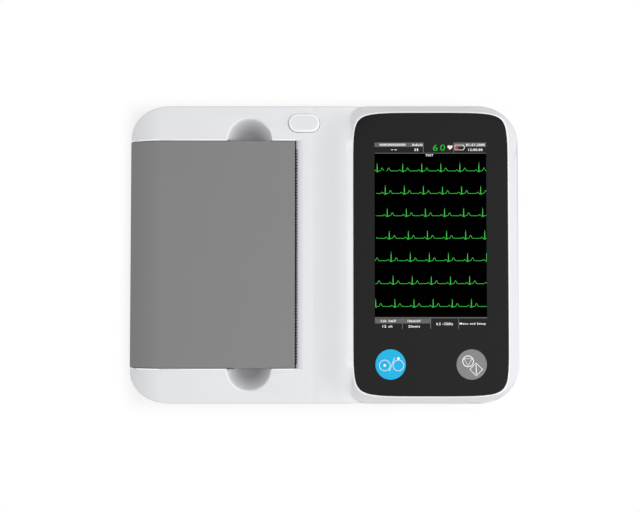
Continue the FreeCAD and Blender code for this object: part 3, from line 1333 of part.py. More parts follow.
def paper_web():
    """Sheet from the top of the stack, round the platen and up into the slot."""
    inner, outer = PLATEN_RADIUS + 0.18, PLATEN_RADIUS + 0.18 + PAPER_SHEET

    def on_platen(radius, degrees):
        return beside(PLATEN_X, PLATEN_Z, degrees, radius)

    def strip_edges(radius, lift):
        start = Vector(TRAY_SIDE_END - 20, 0, PAPER_TOP + lift)
        lead = Vector(TRAY_SIDE_END - 4, 0, PAPER_TOP + lift)
        first, middle, last = [Vector(x, 0, z) for x, z in
                               (on_platen(radius, angle) for angle in WRAP_ANGLES)]
        slope = math.radians(WRAP_ANGLES[-1])
        rise = COVER_BOTTOM - PAPER_END_GAP - last.z
        end = last + Vector(-math.tan(slope), 0, 1) * rise
        return [line(start, lead), line(lead, first), arc(first, middle, last), line(last, end)]

    low, high = strip_edges(outer, 0), strip_edges(inner, PAPER_SHEET)
    ends = [line(low[0].Vertexes[0].Point, high[0].Vertexes[0].Point),
            line(low[-1].Vertexes[-1].Point, high[-1].Vertexes[-1].Point)]
    wire = Part.Wire(Part.__sortEdges__(low + high + ends))
    return extrude_y(wire, -PAPER_HALF, PAPER_HALF)


# Release button and latch


def release_button():
    cap = stadium(BUTTON_LENGTH, BUTTON_WIDTH, CEILING - BUTTON_FLANGE, TOP_HEIGHT + BUTTON_RISE)
    crown = [edge for edge in cap.Edges if edge.BoundBox.ZMin > TOP_HEIGHT + BUTTON_RISE - 0.01]
    cap = cap.makeFillet(BUTTON_ROUND, crown)
    flange = stadium(BUTTON_LENGTH + 4, BUTTON_WIDTH + 4, CEILING - 0.3 - BUTTON_FLANGE, CEILING - 0.3)
    foot = LATCH_Z + LATCH_SHAFT_RADIUS + 0.4
    stem = rod_z(BUTTON_X, BUTTON_Y, STEM_RADIUS, foot + STEM_RADIUS, CEILING - BUTTON_FLANGE)
    tip = Part.makeSphere(STEM_RADIUS, Vector(BUTTON_X, BUTTON_Y, foot + STEM_RADIUS))
    return join([cap, flange, stem, tip])


def spring_seat():
    return CEILING - BUTTON_FLANGE - 13


def button_bracket():
    seat = spring_seat()
    reach = BUTTON_LENGTH / 2 + 6
    plate = box(BUTTON_X - reach - 3, BUTTON_X + reach + 3, BUTTON_Y - 8, BUTTON_Y + 8, seat - 2, seat)
    pillars = [rod_z(BUTTON_X + side * reach, BUTTON_Y, 2.6, seat - 2, CEILING) for side in (-1, 1)]
    hole = rod_z(BUTTON_X, BUTTON_Y, STEM_RADIUS + 0.4, seat - 3, seat + 1)
    return plate.multiFuse(pillars).cut(hole).removeSplitter()


def button_spring():
    """Two bowed leaves on the bracket, one each side of the stem, under the button's flange."""
    seat, crest = spring_seat(), CEILING - 0.5 - BUTTON_FLANGE
    span, leaf = SPRING_SPAN / 2, SPRING_LEAF

    def spot(dx, z):
        return Vector(BUTTON_X + dx, 0, z)

    wire = Part.Wire([
        arc(spot(-span, seat), spot(0, crest), spot(span, seat)),
        line(spot(span, seat), spot(span - leaf, seat)),
        arc(spot(span - leaf, seat), spot(0, crest - leaf), spot(leaf - span, seat)),
        line(spot(leaf - span, seat), spot(-span, seat)),
    ])
    near = STEM_RADIUS + 0.8
    return group([extrude_y(wire, BUTTON_Y + near, BUTTON_Y + near + SPRING_WIDTH),
                  extrude_y(wire, BUTTON_Y - near - SPRING_WIDTH, BUTTON_Y - near)])


def latch_shaft():
    return rod_y(LATCH_X, LATCH_Z, LATCH_SHAFT_RADIUS, -PLATE_Y - CHASSIS_SHEET - 1, BUTTON_Y + 4)


def latch_hooks():
    """Two hooks beside the platen shaft, just clear of its upward path."""
    near = PLATEN_X + SHAFT_RADIUS + HOOK_CLEARANCE
    top = PLATEN_Z + 4.5
    blade = extrude_y(polygon_xz([(LATCH_X - 3, LATCH_Z), (near, PLATEN_Z - 8), (near, top),
                                  (near + 3, top), (near + 3.8, PLATEN_Z), (LATCH_X, LATCH_Z)]),
                      HOOK_Y, HOOK_Y + HOOK_THICKNESS)
    boss = rod_y(LATCH_X, LATCH_Z, 3.5, HOOK_Y, HOOK_Y + HOOK_THICKNESS)
    bore = rod_y(LATCH_X, LATCH_Z, LATCH_SHAFT_RADIUS + 0.02, HOOK_Y - 1, HOOK_Y + 5)
    return group(both_sides(blade.fuse(boss).cut(bore).removeSplitter()))


def latch_lever():
    y0, y1 = BUTTON_Y - 3, BUTTON_Y + 3
    boss = rod_y(LATCH_X, LATCH_Z, 3.5, y0, y1)
    arm = box(LATCH_X, BUTTON_X + 4, y0, y1, LATCH_Z - 2, LATCH_Z + LATCH_SHAFT_RADIUS)
    bore = rod_y(LATCH_X, LATCH_Z, LATCH_SHAFT_RADIUS + 0.02, y0 - 1, y1 + 1)
    return boss.fuse(arm).cut(bore).removeSplitter()


PIECES = (lower_case, upper_case, rubber_feet, case_screws, battery_door, battery_door_screws,
          battery_pack, speaker, touch_panel, power_key, start_key, display_seal, display_module,
          display_bracket, display_bracket_screws, touch_key_board, main_board, main_board_chips,
          power_board, power_board_parts, ecg_board, ecg_shield, board_screws, ac_inlet, inlet_pins,
          ground_post, patient_connector, usb_ports, lan_port, printer_cover, cover_frame, tear_bar,
          platen_bushes, platen_shaft, platen_roller, platen_gear, hinge_pins, idler_gear, idler_pin,
          motor_pinion, motor_shaft, stepper_motor, print_head, head_heat_sink, head_pivot_rod,
          head_springs, print_chassis, chassis_screws, paper_tray, chart_paper, paper_web,
          release_button, button_bracket, button_spring, latch_shaft, latch_hooks, latch_lever)

os.makedirs("parts", exist_ok=True)
for piece in PIECES:
    shape = piece()
    solids = shape.Solids
    volume = sum(solid.Volume for solid in solids)
    print(f"{piece.__name__}: {len(solids)} solid(s), {volume:.0f} mm3, valid {shape.isValid()}")
    shape.exportStep(f"parts/{piece.__name__}.step")
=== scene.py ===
# %% [markdown]
# # A desktop ECG recorder, dressed in Blender
# The solids of this recorder come ready made, each in its place and in metres.
# This lesson gives them their looks: moulded plastic, a black panel, a lit screen, printed keys.
# It starts by loading the solids and noting their outer box, which the looks must not outgrow.

import json
import math

import bmesh
import bpy
from mathutils import Matrix, Vector


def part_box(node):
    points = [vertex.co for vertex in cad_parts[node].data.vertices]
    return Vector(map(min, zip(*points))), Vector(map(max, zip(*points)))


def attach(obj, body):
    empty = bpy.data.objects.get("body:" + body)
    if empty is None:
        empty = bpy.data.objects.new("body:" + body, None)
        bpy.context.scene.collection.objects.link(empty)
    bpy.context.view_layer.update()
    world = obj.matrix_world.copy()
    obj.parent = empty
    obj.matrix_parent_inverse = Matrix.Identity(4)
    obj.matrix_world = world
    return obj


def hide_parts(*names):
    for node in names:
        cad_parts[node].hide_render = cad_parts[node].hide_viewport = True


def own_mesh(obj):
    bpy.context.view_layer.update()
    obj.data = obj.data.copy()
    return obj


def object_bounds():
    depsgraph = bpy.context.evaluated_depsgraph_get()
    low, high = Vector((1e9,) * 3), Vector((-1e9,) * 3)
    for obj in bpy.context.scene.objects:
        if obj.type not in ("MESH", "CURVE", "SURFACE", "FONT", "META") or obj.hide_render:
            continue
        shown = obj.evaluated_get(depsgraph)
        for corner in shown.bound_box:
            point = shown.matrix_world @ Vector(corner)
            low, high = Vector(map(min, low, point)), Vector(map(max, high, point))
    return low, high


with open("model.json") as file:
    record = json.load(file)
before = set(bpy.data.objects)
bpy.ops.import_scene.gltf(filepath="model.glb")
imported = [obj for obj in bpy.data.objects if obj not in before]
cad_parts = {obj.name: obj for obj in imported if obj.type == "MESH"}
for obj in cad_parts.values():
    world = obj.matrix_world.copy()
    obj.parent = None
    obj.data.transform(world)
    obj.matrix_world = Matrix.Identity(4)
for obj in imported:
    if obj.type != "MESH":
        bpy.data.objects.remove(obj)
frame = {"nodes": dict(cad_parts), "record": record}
nodes = frame["nodes"]
solid_box = [list(corner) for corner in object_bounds()]
print("solids:", len(nodes), "box:", solid_box)

# %% [markdown]
# ## Arithmetic on sockets
# A finish is a small sum: a base colour, plus a little noise, times a mask.
# Wiring Math nodes by hand hides that sum, so one small class lets a socket stand in a Python sum.
# Its node method makes any other node: settings go in first, then values or links for its sockets.


# %% A socket that can be added and multiplied
class Wire:
    def __init__(self, tree, socket=None):
        self.tree = tree
        self.socket = socket

    def node(self, kind, settings=None, inputs=None, out=0):
        made = self.tree.nodes.new(kind)
        for name, value in (settings or {}).items():
            setattr(made, name, value)
        for name, value in (inputs or {}).items():
            if isinstance(value, Wire):
                self.tree.links.new(value.socket, made.inputs[name])
            else:
                made.inputs[name].default_value = value
        return Wire(self.tree, made.outputs[out])

    def sum(self, operation, first, second=0.0):
        return self.node("ShaderNodeMath", {"operation": operation}, {0: first, 1: second})

    def __add__(self, other):
        return self.sum("ADD", self, other)

    def __sub__(self, other):
        return self.sum("SUBTRACT", self, other)

    def __rsub__(self, other):
        return self.sum("SUBTRACT", other, self)

    def __mul__(self, other):
        return self.sum("MULTIPLY", self, other)

    def __truediv__(self, other):
        return self.sum("DIVIDE", self, other)

    def __rtruediv__(self, other):
        return self.sum("DIVIDE", other, self)

    def __abs__(self):
        return self.sum("ABSOLUTE", self)

    def at_least(self, other):
        return self.sum("MAXIMUM", self, other)

    def at_most(self, other):
        return self.sum("MINIMUM", self, other)

    def clamped(self):
        return self.at_least(0.0).at_most(1.0)

    __radd__ = __add__
    __rmul__ = __mul__


print("a Wire can stand in + - * / and abs, and has at_least, at_most and clamped")

# %% [markdown]
# ## A starting point for every finish
# Each finish is one Principled shader read in Object coordinates, so it stays put on its piece.
# Values that are the same all over go straight on the shader's sockets.
# Only colour, roughness and bump vary, which is what a bake can keep.
# Colours are written as a screen shows them, from 0 to 255, and turned into the linear light of a shader.


# %% Finish helpers
def tone(red, green, blue):
    """Screen colour from 0 to 255 as the linear colour that a shader wants."""
    def linear(value):
        value /= 255
        return value / 12.92 if value <= 0.04045 else ((value + 0.055) / 1.055) ** 2.4
    return linear(red), linear(green), linear(blue), 1.0


def object_place(tree):
    return Wire(tree).node("ShaderNodeTexCoord", out=3)


def finish(name, **sockets):
    """New material, its shader and a Wire on its object coordinates."""
    material = bpy.data.materials.new(name)
    material.use_nodes = True
    shader = material.node_tree.nodes["Principled BSDF"]
    for socket, value in sockets.items():
        shader.inputs[socket.replace("_", " ")].default_value = value
    return material, shader, object_place(material.node_tree)


def feed(shader, socket, wire):
    wire.tree.links.new(wire.socket, shader.inputs[socket])


print("middle grey in linear light:", round(tone(128, 128, 128)[0], 3))

# %% [markdown]
# ## Small unevenness
# No real surface is one flat value, and a scanned picture of one would show where it repeats.
# A noise in metres doesn't repeat, so it varies every finish a little: its colour, its gloss, its bump.


# %% Noise and what it drives
def noise(place, scale, detail=3.0, stretch=(1, 1, 1)):
    """Soft noise from 0 to 1 whose grain is 1 / scale metres."""
    spot = place.node("ShaderNodeMapping", inputs={"Vector": place, "Scale": stretch})
    return place.node("ShaderNodeTexNoise", inputs={"Vector": spot, "Scale": scale, "Detail": detail})


def blend_colours(share, first, second):
    return share.node("ShaderNodeMix", {"data_type": "RGBA"}, {0: share, 6: first, 7: second}, out=2)


def shade(colour, factor):
    return tuple(min(1.0, part * factor) for part in colour[:3]) + (1.0,)


def mottled(colour, share, darkest, lightest):
    """The colour times darkest where the noise is 0, up to times lightest where it is 1."""
    return blend_colours(share, shade(colour, darkest), shade(colour, lightest))


def around(middle, share, spread):
    """A value that the noise moves to both sides of a middle one."""
    return middle + (share - 0.5) * spread


def bump(wire, strength, depth):
    return wire.node("ShaderNodeBump", inputs={"Height": wire, "Strength": strength, "Distance": depth})


print("a tenth darker than middle grey:", [round(v, 3) for v in shade(tone(128, 128, 128), 0.9)])

# %% [markdown]
# ## Moulded plastic
# The shells, the cover and the button are injection moulded in a spark-eroded tool.
# That leaves a fine even grain that kills gloss, and a faint cloudiness in the colour.
# Modelling the grain would take millions of faces, so two noises do it.
# The fine one drives the grain's bump and roughness, and the broad one the cloudiness.

# %% Spark-eroded plastic
CLOUD_SCALE, GRAIN_SCALE = 14.0, 2200.0
GRAIN_DEPTH, GRAIN_GLOSS = 0.00012, 0.16
WHITE = tone(228, 229, 233)


def moulded(name, colour, grain=0.12, gloss=0.5, cloud=0.02):
    material, shader, place = finish(name, Specular_IOR_Level=0.35)
    broad = noise(place, CLOUD_SCALE, detail=2.0)
    fine = noise(place, GRAIN_SCALE, detail=2.0)
    feed(shader, "Base Color", mottled(colour, broad, 1 - cloud, 1 + cloud))
    feed(shader, "Roughness", around(gloss, fine, GRAIN_GLOSS))
    feed(shader, "Normal", bump(fine, grain, GRAIN_DEPTH))
    return material


shell_white = moulded("shell_white", WHITE)
upper_white = moulded("upper_white", WHITE)
button_white = moulded("button_white", WHITE, grain=0.03, gloss=0.2)
cover_grey = moulded("cover_grey", tone(127, 127, 127), grain=0.16)
tray_black = moulded("tray_black", tone(52, 52, 54), grain=0.1)
gear_acetal = moulded("gear_acetal", tone(226, 224, 214), grain=0.05, gloss=0.35)
socket_black = moulded("socket_black", tone(38, 38, 40), grain=0.08)
chip_resin = moulded("chip_resin", tone(34, 34, 36), grain=0.15, gloss=0.6)
print("moulded finishes:", [m.name for m in (shell_white, cover_grey, tray_black, gear_acetal)])

# %% [markdown]
# ## Finger bowls and edges: painted shade and painted highlights
# The upper shell has places of its own: the finger bowls beside the cover, and its edges.
# The bowls have painted shade: their white turns grey with depth and fades out towards their edge.
# The rim round the panel and the edges of the bowls and the cover's bay have painted highlights.
# They make brighter white lines. Splitting the shell into faces for them would leave hard borders.
# So each is a mask of height or distance that mixes in a cleaner white.
# The painted highlight on the bowls' edge is strongest on the left and runs out to the right.
# The bowls' line is strongest on the left and runs out to the right.


# %% Places and distances
def axes(place):
    """The three coordinates of a place, each as a Wire."""
    split = place.node("ShaderNodeSeparateXYZ", inputs={0: place})
    return [Wire(place.tree, socket) for socket in split.socket.node.outputs]


def distance(across, along):
    """Length of a flat vector whose two parts are Wires."""
    return across.sum("SQRT", across * across + along * along)


def colour_so_far(material):
    """The shader of a finish, and a Wire on what feeds its base colour by now."""
    shader = material.node_tree.nodes["Principled BSDF"]
    return shader, Wire(material.node_tree, shader.inputs["Base Color"].links[0].from_socket)


bay_end, bay_side, shell_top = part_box("printer_cover")[1]
rim_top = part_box("upper_case")[1].z
print("cover's far corner:", round(bay_end, 4), round(bay_side, 4), round(shell_top, 4))

# %% Upper shell
BOWL_FROM_END, BOWL_PAST_SIDE, BOWL_RADIUS = 0.0454, 0.0007, 0.0229
BOWL_SHADE_DEPTH = 0.0115
BOWL_LINE, BOWL_LINE_DEPTH, BOWL_LINE_END = 0.0009, 0.0030, 0.3
RIM_DEPTH, RIM_FADE = 0.0010, 0.0005
BAY_EDGE = 0.0020
# Grey of the painted shade in the bowls, and white of the painted highlights.
BOWL_SHADE_GREY, HIGHLIGHT_WHITE = tone(142, 142, 145), tone(252, 252, 254)
shader, plain = colour_so_far(upper_white)
x, y, z = axes(object_place(plain.tree))
across, along = x - (bay_end - BOWL_FROM_END), abs(y) - (bay_side + BOWL_PAST_SIDE)
outward = distance(across, along)
# Painted shade: in the bowls the white is mixed towards grey the deeper it lies below the shell's top.
bowl_shade = ((shell_top - z) / BOWL_SHADE_DEPTH).clamped() * x.sum("LESS_THAN", outward, BOWL_RADIUS)
# Painted highlights: a brighter white on the panel's rim, on the bowls' edges (mostly their left side) and
# along the cover's bay.
rim_highlight = ((z - (rim_top - RIM_DEPTH)) / RIM_FADE).clamped()
leftward = (BOWL_LINE_END - across / BOWL_RADIUS).clamped()
bowl_edge_highlight = ((1 - abs(outward - BOWL_RADIUS) / BOWL_LINE).at_least(0.0) * leftward
             * x.sum("GREATER_THAN", z, shell_top - BOWL_LINE_DEPTH))
bay_edge_highlight = (x.sum("LESS_THAN", x, bay_end) * x.sum("GREATER_THAN", outward, BOWL_RADIUS)
            * x.sum("LESS_THAN", abs(y), bay_side + BAY_EDGE))
painted_highlight = rim_highlight.at_least(bowl_edge_highlight).at_least(bay_edge_highlight)
bowl_shaded_shell = blend_colours(bowl_shade, plain, BOWL_SHADE_GREY)
feed(shader, "Base Color", blend_colours(painted_highlight, bowl_shaded_shell, HIGHLIGHT_WHITE))
print("upper shell with", len(upper_white.node_tree.nodes), "nodes")

# %% [markdown]
# ## Release button
# The oval button is glossier than the shell, and the bevel round its top has a painted highlight like those
# edges.
# A second finish on the bevel's faces would do, but a mask can fade.
# The outline is two half circles and two straight sides, so the mask is the distance from its middle line.
# The solid's box is wider than what shows, by the flange that keeps the button in the shell.

# %% Painted highlight on the bevel
FLANGE, BEVEL_START, BEVEL_FADE = 0.0020, 0.0024, 0.0010
BEVEL_HIGHLIGHT_WHITE = tone(250, 250, 252)
low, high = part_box("release_button")
radius = (high.y - low.y) / 2 - FLANGE
straight = (high.x - low.x) / 2 - FLANGE - radius
shader, plain = colour_so_far(button_white)
x, y, _ = axes(object_place(plain.tree))
across = (abs(x - (low.x + high.x) / 2) - straight).at_least(0.0)
outward = distance(across, y - (low.y + high.y) / 2)
# Painted highlight: the bevel round the button's top is mixed towards a brighter white.
bevel_highlight = ((outward - (radius - BEVEL_START)) / BEVEL_FADE).clamped()
feed(shader, "Base Color", blend_colours(bevel_highlight, plain, BEVEL_HIGHLIGHT_WHITE))
print("button", round((straight + radius) * 2000, 1), "by", round(radius * 2000, 1), "mm")

# %% [markdown]
# ## Panel, keys and printed ink
# The panel is a hard-coated sheet printed black from behind, with the two touch keys printed on it.
# It has almost no grain, so only a trace of unevenness is left in its gloss.
# A mirror-like coat would show the room, and the real panel doesn't.
# So its specular level is kept low, as an anti-glare coat does, and the black stays black.

# %% Coated sheet and ink
HAZE_SCALE, HAZE_GLOSS = 60.0, 0.08
SPECK_SCALE, SPECK_GLOSS = 900.0, 0.04


def coated(name, colour, gloss=0.32, level=0.2):
    material, shader, place = finish(name, Specular_IOR_Level=level)
    haze = noise(place, HAZE_SCALE, detail=4.0)
    speck = noise(place, SPECK_SCALE, detail=2.0)
    feed(shader, "Base Color", mottled(colour, haze, 0.97, 1.03))
    feed(shader, "Roughness", around(around(gloss, haze, HAZE_GLOSS), speck, SPECK_GLOSS))
    feed(shader, "Normal", bump(speck, strength=0.02, depth=0.00005))
    return material


panel_black = coated("panel_black", tone(31, 31, 31), gloss=0.45, level=0.06)
key_blue = coated("key_blue", tone(22, 180, 228), level=0.1)
key_grey = coated("key_grey", tone(132, 132, 132), level=0.1)
ink_white = coated("ink_white", tone(248, 250, 251), gloss=0.5, level=0.1)
print("printed finishes:", [m.name for m in (panel_black, key_blue, key_grey, ink_white)])

# %% [markdown]
# ## Rubber and metal
# Feet, platen, shafts, springs and sheet metal are mostly seen when the cover is open or from below.
# Rubber is a dark grain with no gloss, and rolled steel is a noise stretched along the rolling direction.
# A broad second noise stains the metal, because bare steel is never one even tone.


# %% Rubber and metals
def rubber(name, colour):
    material, shader, place = finish(name, Specular_IOR_Level=0.2)
    grain = noise(place, scale=1400.0)
    feed(shader, "Base Color", mottled(colour, grain, 0.8, 1.2))
    feed(shader, "Roughness", around(0.78, grain, spread=0.2))
    feed(shader, "Normal", bump(grain, strength=0.2, depth=0.0001))
    return material


def rolled_metal(name, colour, along, gloss=0.32):
    material, shader, place = finish(name, Metallic=1.0)
    streak = noise(place, scale=900.0, stretch=along)
    stain = noise(place, scale=40.0)
    feed(shader, "Base Color", mottled(colour, stain, 0.9, 1.06))
    feed(shader, "Roughness", around(gloss, streak, spread=0.25))
    feed(shader, "Normal", bump(streak, strength=0.08, depth=0.00005))
    return material


foot_rubber = rubber("foot_rubber", tone(46, 46, 48))
platen_rubber = rubber("platen_rubber", tone(40, 41, 44))
turned_steel = rolled_metal("turned_steel", tone(190, 192, 196), along=(1, 0.05, 1))
zinc_sheet = rolled_metal("zinc_sheet", tone(178, 182, 188), along=(0.06, 1, 1), gloss=0.38)
milled_aluminium = rolled_metal("milled_aluminium", tone(214, 215, 218), along=(0.08, 1, 1))
plated_brass = rolled_metal("plated_brass", tone(222, 196, 120), along=(1, 0.1, 1), gloss=0.25)
blade_black = rolled_metal("blade_black", tone(30, 30, 30), along=(1, 0.1, 1), gloss=0.5)
print("metals:", [m.name for m in (turned_steel, zinc_sheet, milled_aluminium, plated_brass)])

# %% [markdown]
# ## Chart paper and circuit boards
# Chart paper is printed with a red grid, fine lines every millimetre and bold ones every five.
# Ruled lines could be a texture, but a distance to the nearest line stays sharp at any size.
# A board's copper tracks run in square steps, which rings round the cells of a blocky pattern give.

# %% Chart paper, boards, ceramic and wrap
FINE_PITCH, FINE_LINE, FINE_INK = 0.001, 0.00014, 0.35
BOLD_PITCH, BOLD_LINE, BOLD_INK = 0.005, 0.0003, 0.75
PAPER_WHITE, GRID_RED = tone(250, 240, 236), tone(226, 128, 118)
RESIST_GREEN, TRACK_GREEN = tone(24, 92, 52), tone(52, 132, 80)


def grid_line(coordinate, pitch, width):
    """1 on a line of that width every pitch metres, and 0 between the lines."""
    off = abs(coordinate.sum("PINGPONG", coordinate, pitch / 2))
    return off.sum("LESS_THAN", off, width / 2)


def chart_sheet():
    material, shader, place = finish("chart_sheet", Specular_IOR_Level=0.15)
    x, y, _ = axes(place)
    fine = grid_line(x, FINE_PITCH, FINE_LINE).at_least(grid_line(y, FINE_PITCH, FINE_LINE))
    bold = grid_line(x, BOLD_PITCH, BOLD_LINE).at_least(grid_line(y, BOLD_PITCH, BOLD_LINE))
    fibre = noise(place, scale=700.0, detail=4.0)
    ink = (fine * FINE_INK).at_least(bold * BOLD_INK)
    feed(shader, "Base Color", blend_colours(ink, PAPER_WHITE, GRID_RED))
    feed(shader, "Roughness", around(0.62, fibre, spread=0.1))
    feed(shader, "Normal", bump(fibre, strength=0.05, depth=0.00005))
    return material


def circuit_board():
    material, shader, place = finish("circuit_board", Specular_IOR_Level=0.4)
    cells = place.node("ShaderNodeTexVoronoi", {"distance": "MANHATTAN", "feature": "F1"},
                       {"Vector": place, "Scale": 160.0})
    tracks = grid_line(cells, pitch=0.22, width=0.05)
    feed(shader, "Base Color", blend_colours(tracks, RESIST_GREEN, TRACK_GREEN))
    feed(shader, "Roughness", 0.34 + tracks * 0.1)
    feed(shader, "Normal", bump(tracks, strength=0.2, depth=0.00005))
    return material


chart_paper = chart_sheet()
board_green = circuit_board()
head_ceramic = coated("head_ceramic", tone(222, 218, 206), gloss=0.28, level=0.5)
battery_wrap = coated("battery_wrap", tone(44, 60, 96), gloss=0.36, level=0.5)
print("paper and boards:", chart_paper.name, board_green.name, head_ceramic.name)

# %% [markdown]
# ## Smooth skins for the solids
# A solid's mesh is loose triangles, so light breaks at every facet of a curved shell.
# A copy with its points merged can be shaded smooth up to an angle, and then stands for the solid.
# Weighted normals keep large flat faces flat, so that only the narrow ones beside them bend the light.

# %% Smooth copies of the solids
MERGE_WITHIN, SLIVER = 2e-6, 1e-7
SMOOTH_UP_TO = 28


def joined_copy(node):
    work = bmesh.new()
    work.from_mesh(nodes[node].data)
    bmesh.ops.remove_doubles(work, verts=work.verts, dist=MERGE_WITHIN)
    bmesh.ops.dissolve_degenerate(work, edges=work.edges, dist=SLIVER)
    clean = bpy.data.meshes.new(node + "_skin")
    work.to_mesh(clean)
    work.free()
    clean.polygons.foreach_set("use_smooth", [True] * len(clean.polygons))
    clean.set_sharp_from_angle(angle=math.radians(SMOOTH_UP_TO))
    return clean


def as_mesh(thing):
    """Plain mesh of an object with its modifiers, curves or text run. The object is then removed."""
    bpy.context.scene.collection.objects.link(thing)
    depsgraph = bpy.context.evaluated_depsgraph_get()
    mesh = bpy.data.meshes.new_from_object(thing.evaluated_get(depsgraph))
    bpy.data.objects.remove(thing)
    return mesh


def smooth_skin(node):
    carrier = bpy.data.objects.new(node + "_carrier", joined_copy(node))
    weigh = carrier.modifiers.new("weigh", "WEIGHTED_NORMAL")
    weigh.weight = 100
    weigh.keep_sharp = True
    return as_mesh(carrier)


print("smooth where faces meet at under", SMOOTH_UP_TO, "degrees")

# %% [markdown]
# ## Dress the solids
# On the real recorder each piece has one finish, so dressing is a list of finishes and their pieces.
# A skin takes the place of its solid, so it rides on the same body, with a finish of its own.
# The body is read from the record that came with the solids, so no piece is tied to a body by hand.

# %% How a piece is dressed
skins = {}
bodies = {node: body for body, parts in frame["record"]["behaviour"]["bodies"].items() for node in parts}


def new_object(name, mesh, material):
    made = bpy.data.objects.new(name, mesh)
    bpy.context.scene.collection.objects.link(made)
    mesh.materials.clear()
    mesh.materials.append(material)
    return made


def wear(node, mesh, material):
    """Let a mesh stand for a solid: same body, its own finish."""
    skin = new_object(node + "_skin", mesh, material)
    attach(skin, bodies[node])
    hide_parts(node)
    skins[node] = skin


def dress(material, *names):
    for node in names:
        wear(node, smooth_skin(node), material)
    print(material.name, "on", len(names), "pieces")


# %% Finishes and the pieces that wear them
dress(upper_white, "upper_case")
dress(shell_white, "lower_case", "battery_door")
dress(button_white, "release_button")
dress(cover_grey, "printer_cover")
dress(panel_black, "touch_panel")
dress(key_blue, "power_key")
dress(key_grey, "start_key")
dress(foot_rubber, "rubber_feet", "display_seal")
dress(platen_rubber, "platen_roller")
dress(tray_black, "paper_tray", "cover_frame", "button_bracket")
dress(gear_acetal, "platen_gear", "idler_gear", "motor_pinion", "platen_bushes")
dress(turned_steel, "case_screws", "battery_door_screws", "display_bracket_screws", "board_screws",
      "platen_shaft", "hinge_pins", "idler_pin", "motor_shaft", "head_pivot_rod", "head_springs",
      "chassis_screws", "button_spring", "latch_shaft", "latch_hooks", "latch_lever", "ecg_shield",
      "usb_ports", "lan_port", "stepper_motor")
dress(zinc_sheet, "print_chassis", "display_bracket")
dress(board_green, "main_board", "power_board", "ecg_board", "touch_key_board")
dress(chip_resin, "main_board_chips", "power_board_parts", "speaker", "display_module")
dress(socket_black, "ac_inlet", "patient_connector")
dress(plated_brass, "inlet_pins", "ground_post")
dress(battery_wrap, "battery_pack")
dress(head_ceramic, "print_head")
dress(milled_aluminium, "head_heat_sink")
dress(chart_paper, "chart_paper", "paper_web")

# %% [markdown]
# ## Node trees that make shapes
# What repeats by a rule is made by Geometry Nodes: first the tear bar's teeth, and later the heartbeats.
# A tree starts with named inputs for its sizes and one for its finish, so it can be run again.
# It ends by making instances real and setting the finish, because an export drops what isn't real.


# %% Helpers for node trees
def new_tree(name, sizes):
    """A Wire in a new node tree, and a Wire on each of its named inputs."""
    tree = bpy.data.node_groups.new(name, "GeometryNodeTree")
    for size in sizes:
        tree.interface.new_socket(size, in_out="INPUT", socket_type="NodeSocketFloat")
    tree.interface.new_socket("Finish", in_out="INPUT", socket_type="NodeSocketMaterial")
    tree.interface.new_socket("Geometry", in_out="OUTPUT", socket_type="NodeSocketGeometry")
    entry = tree.nodes.new("NodeGroupInput")
    return Wire(tree), {socket.name: Wire(tree, socket) for socket in entry.outputs if socket.name}


def close_tree(shape, material):
    real = shape.node("GeometryNodeRealizeInstances", inputs={0: shape})
    dressed = shape.node("GeometryNodeSetMaterial", inputs={"Geometry": real, "Material": material})
    leave = shape.tree.nodes.new("NodeGroupOutput")
    shape.tree.links.new(dressed.socket, leave.inputs[0])
    print(shape.tree.name, "tree with", len(shape.tree.nodes), "nodes")
    return shape.tree


def vector(start, x=0.0, y=0.0, z=0.0):
    return start.node("ShaderNodeCombineXYZ", inputs={0: x, 1: y, 2: z})


def run_tree(tree, name, values):
    """Plain mesh of a node tree run with the given input values."""
    sockets = {item.name: item.identifier for item in tree.interface.items_tree
               if item.item_type == "SOCKET" and item.in_out == "INPUT"}
    carrier = bpy.data.objects.new(name, bpy.data.meshes.new(name))
    runner = carrier.modifiers.new("rule", "NODES")
    runner.node_group = tree
    for label, value in values.items():
        runner[sockets[label]] = value
    return as_mesh(carrier)


# %% [markdown]
# ## Tear bar
# The tear bar is a steel strip with one row of punched teeth, so its whole shape follows a rule.
# Cutting the teeth out of a slab would take a boolean for each of them.
# A grid of two columns does it: every second point of the right column is pushed out by the tooth depth.
# The sheet is then given its thickness, and its own underside closes it.

# %% Toothed strip as a node tree
TOOTH_DEPTH, TOOTH_PITCH = 0.0022, 0.0030
STRIP_MERGE = 0.000001


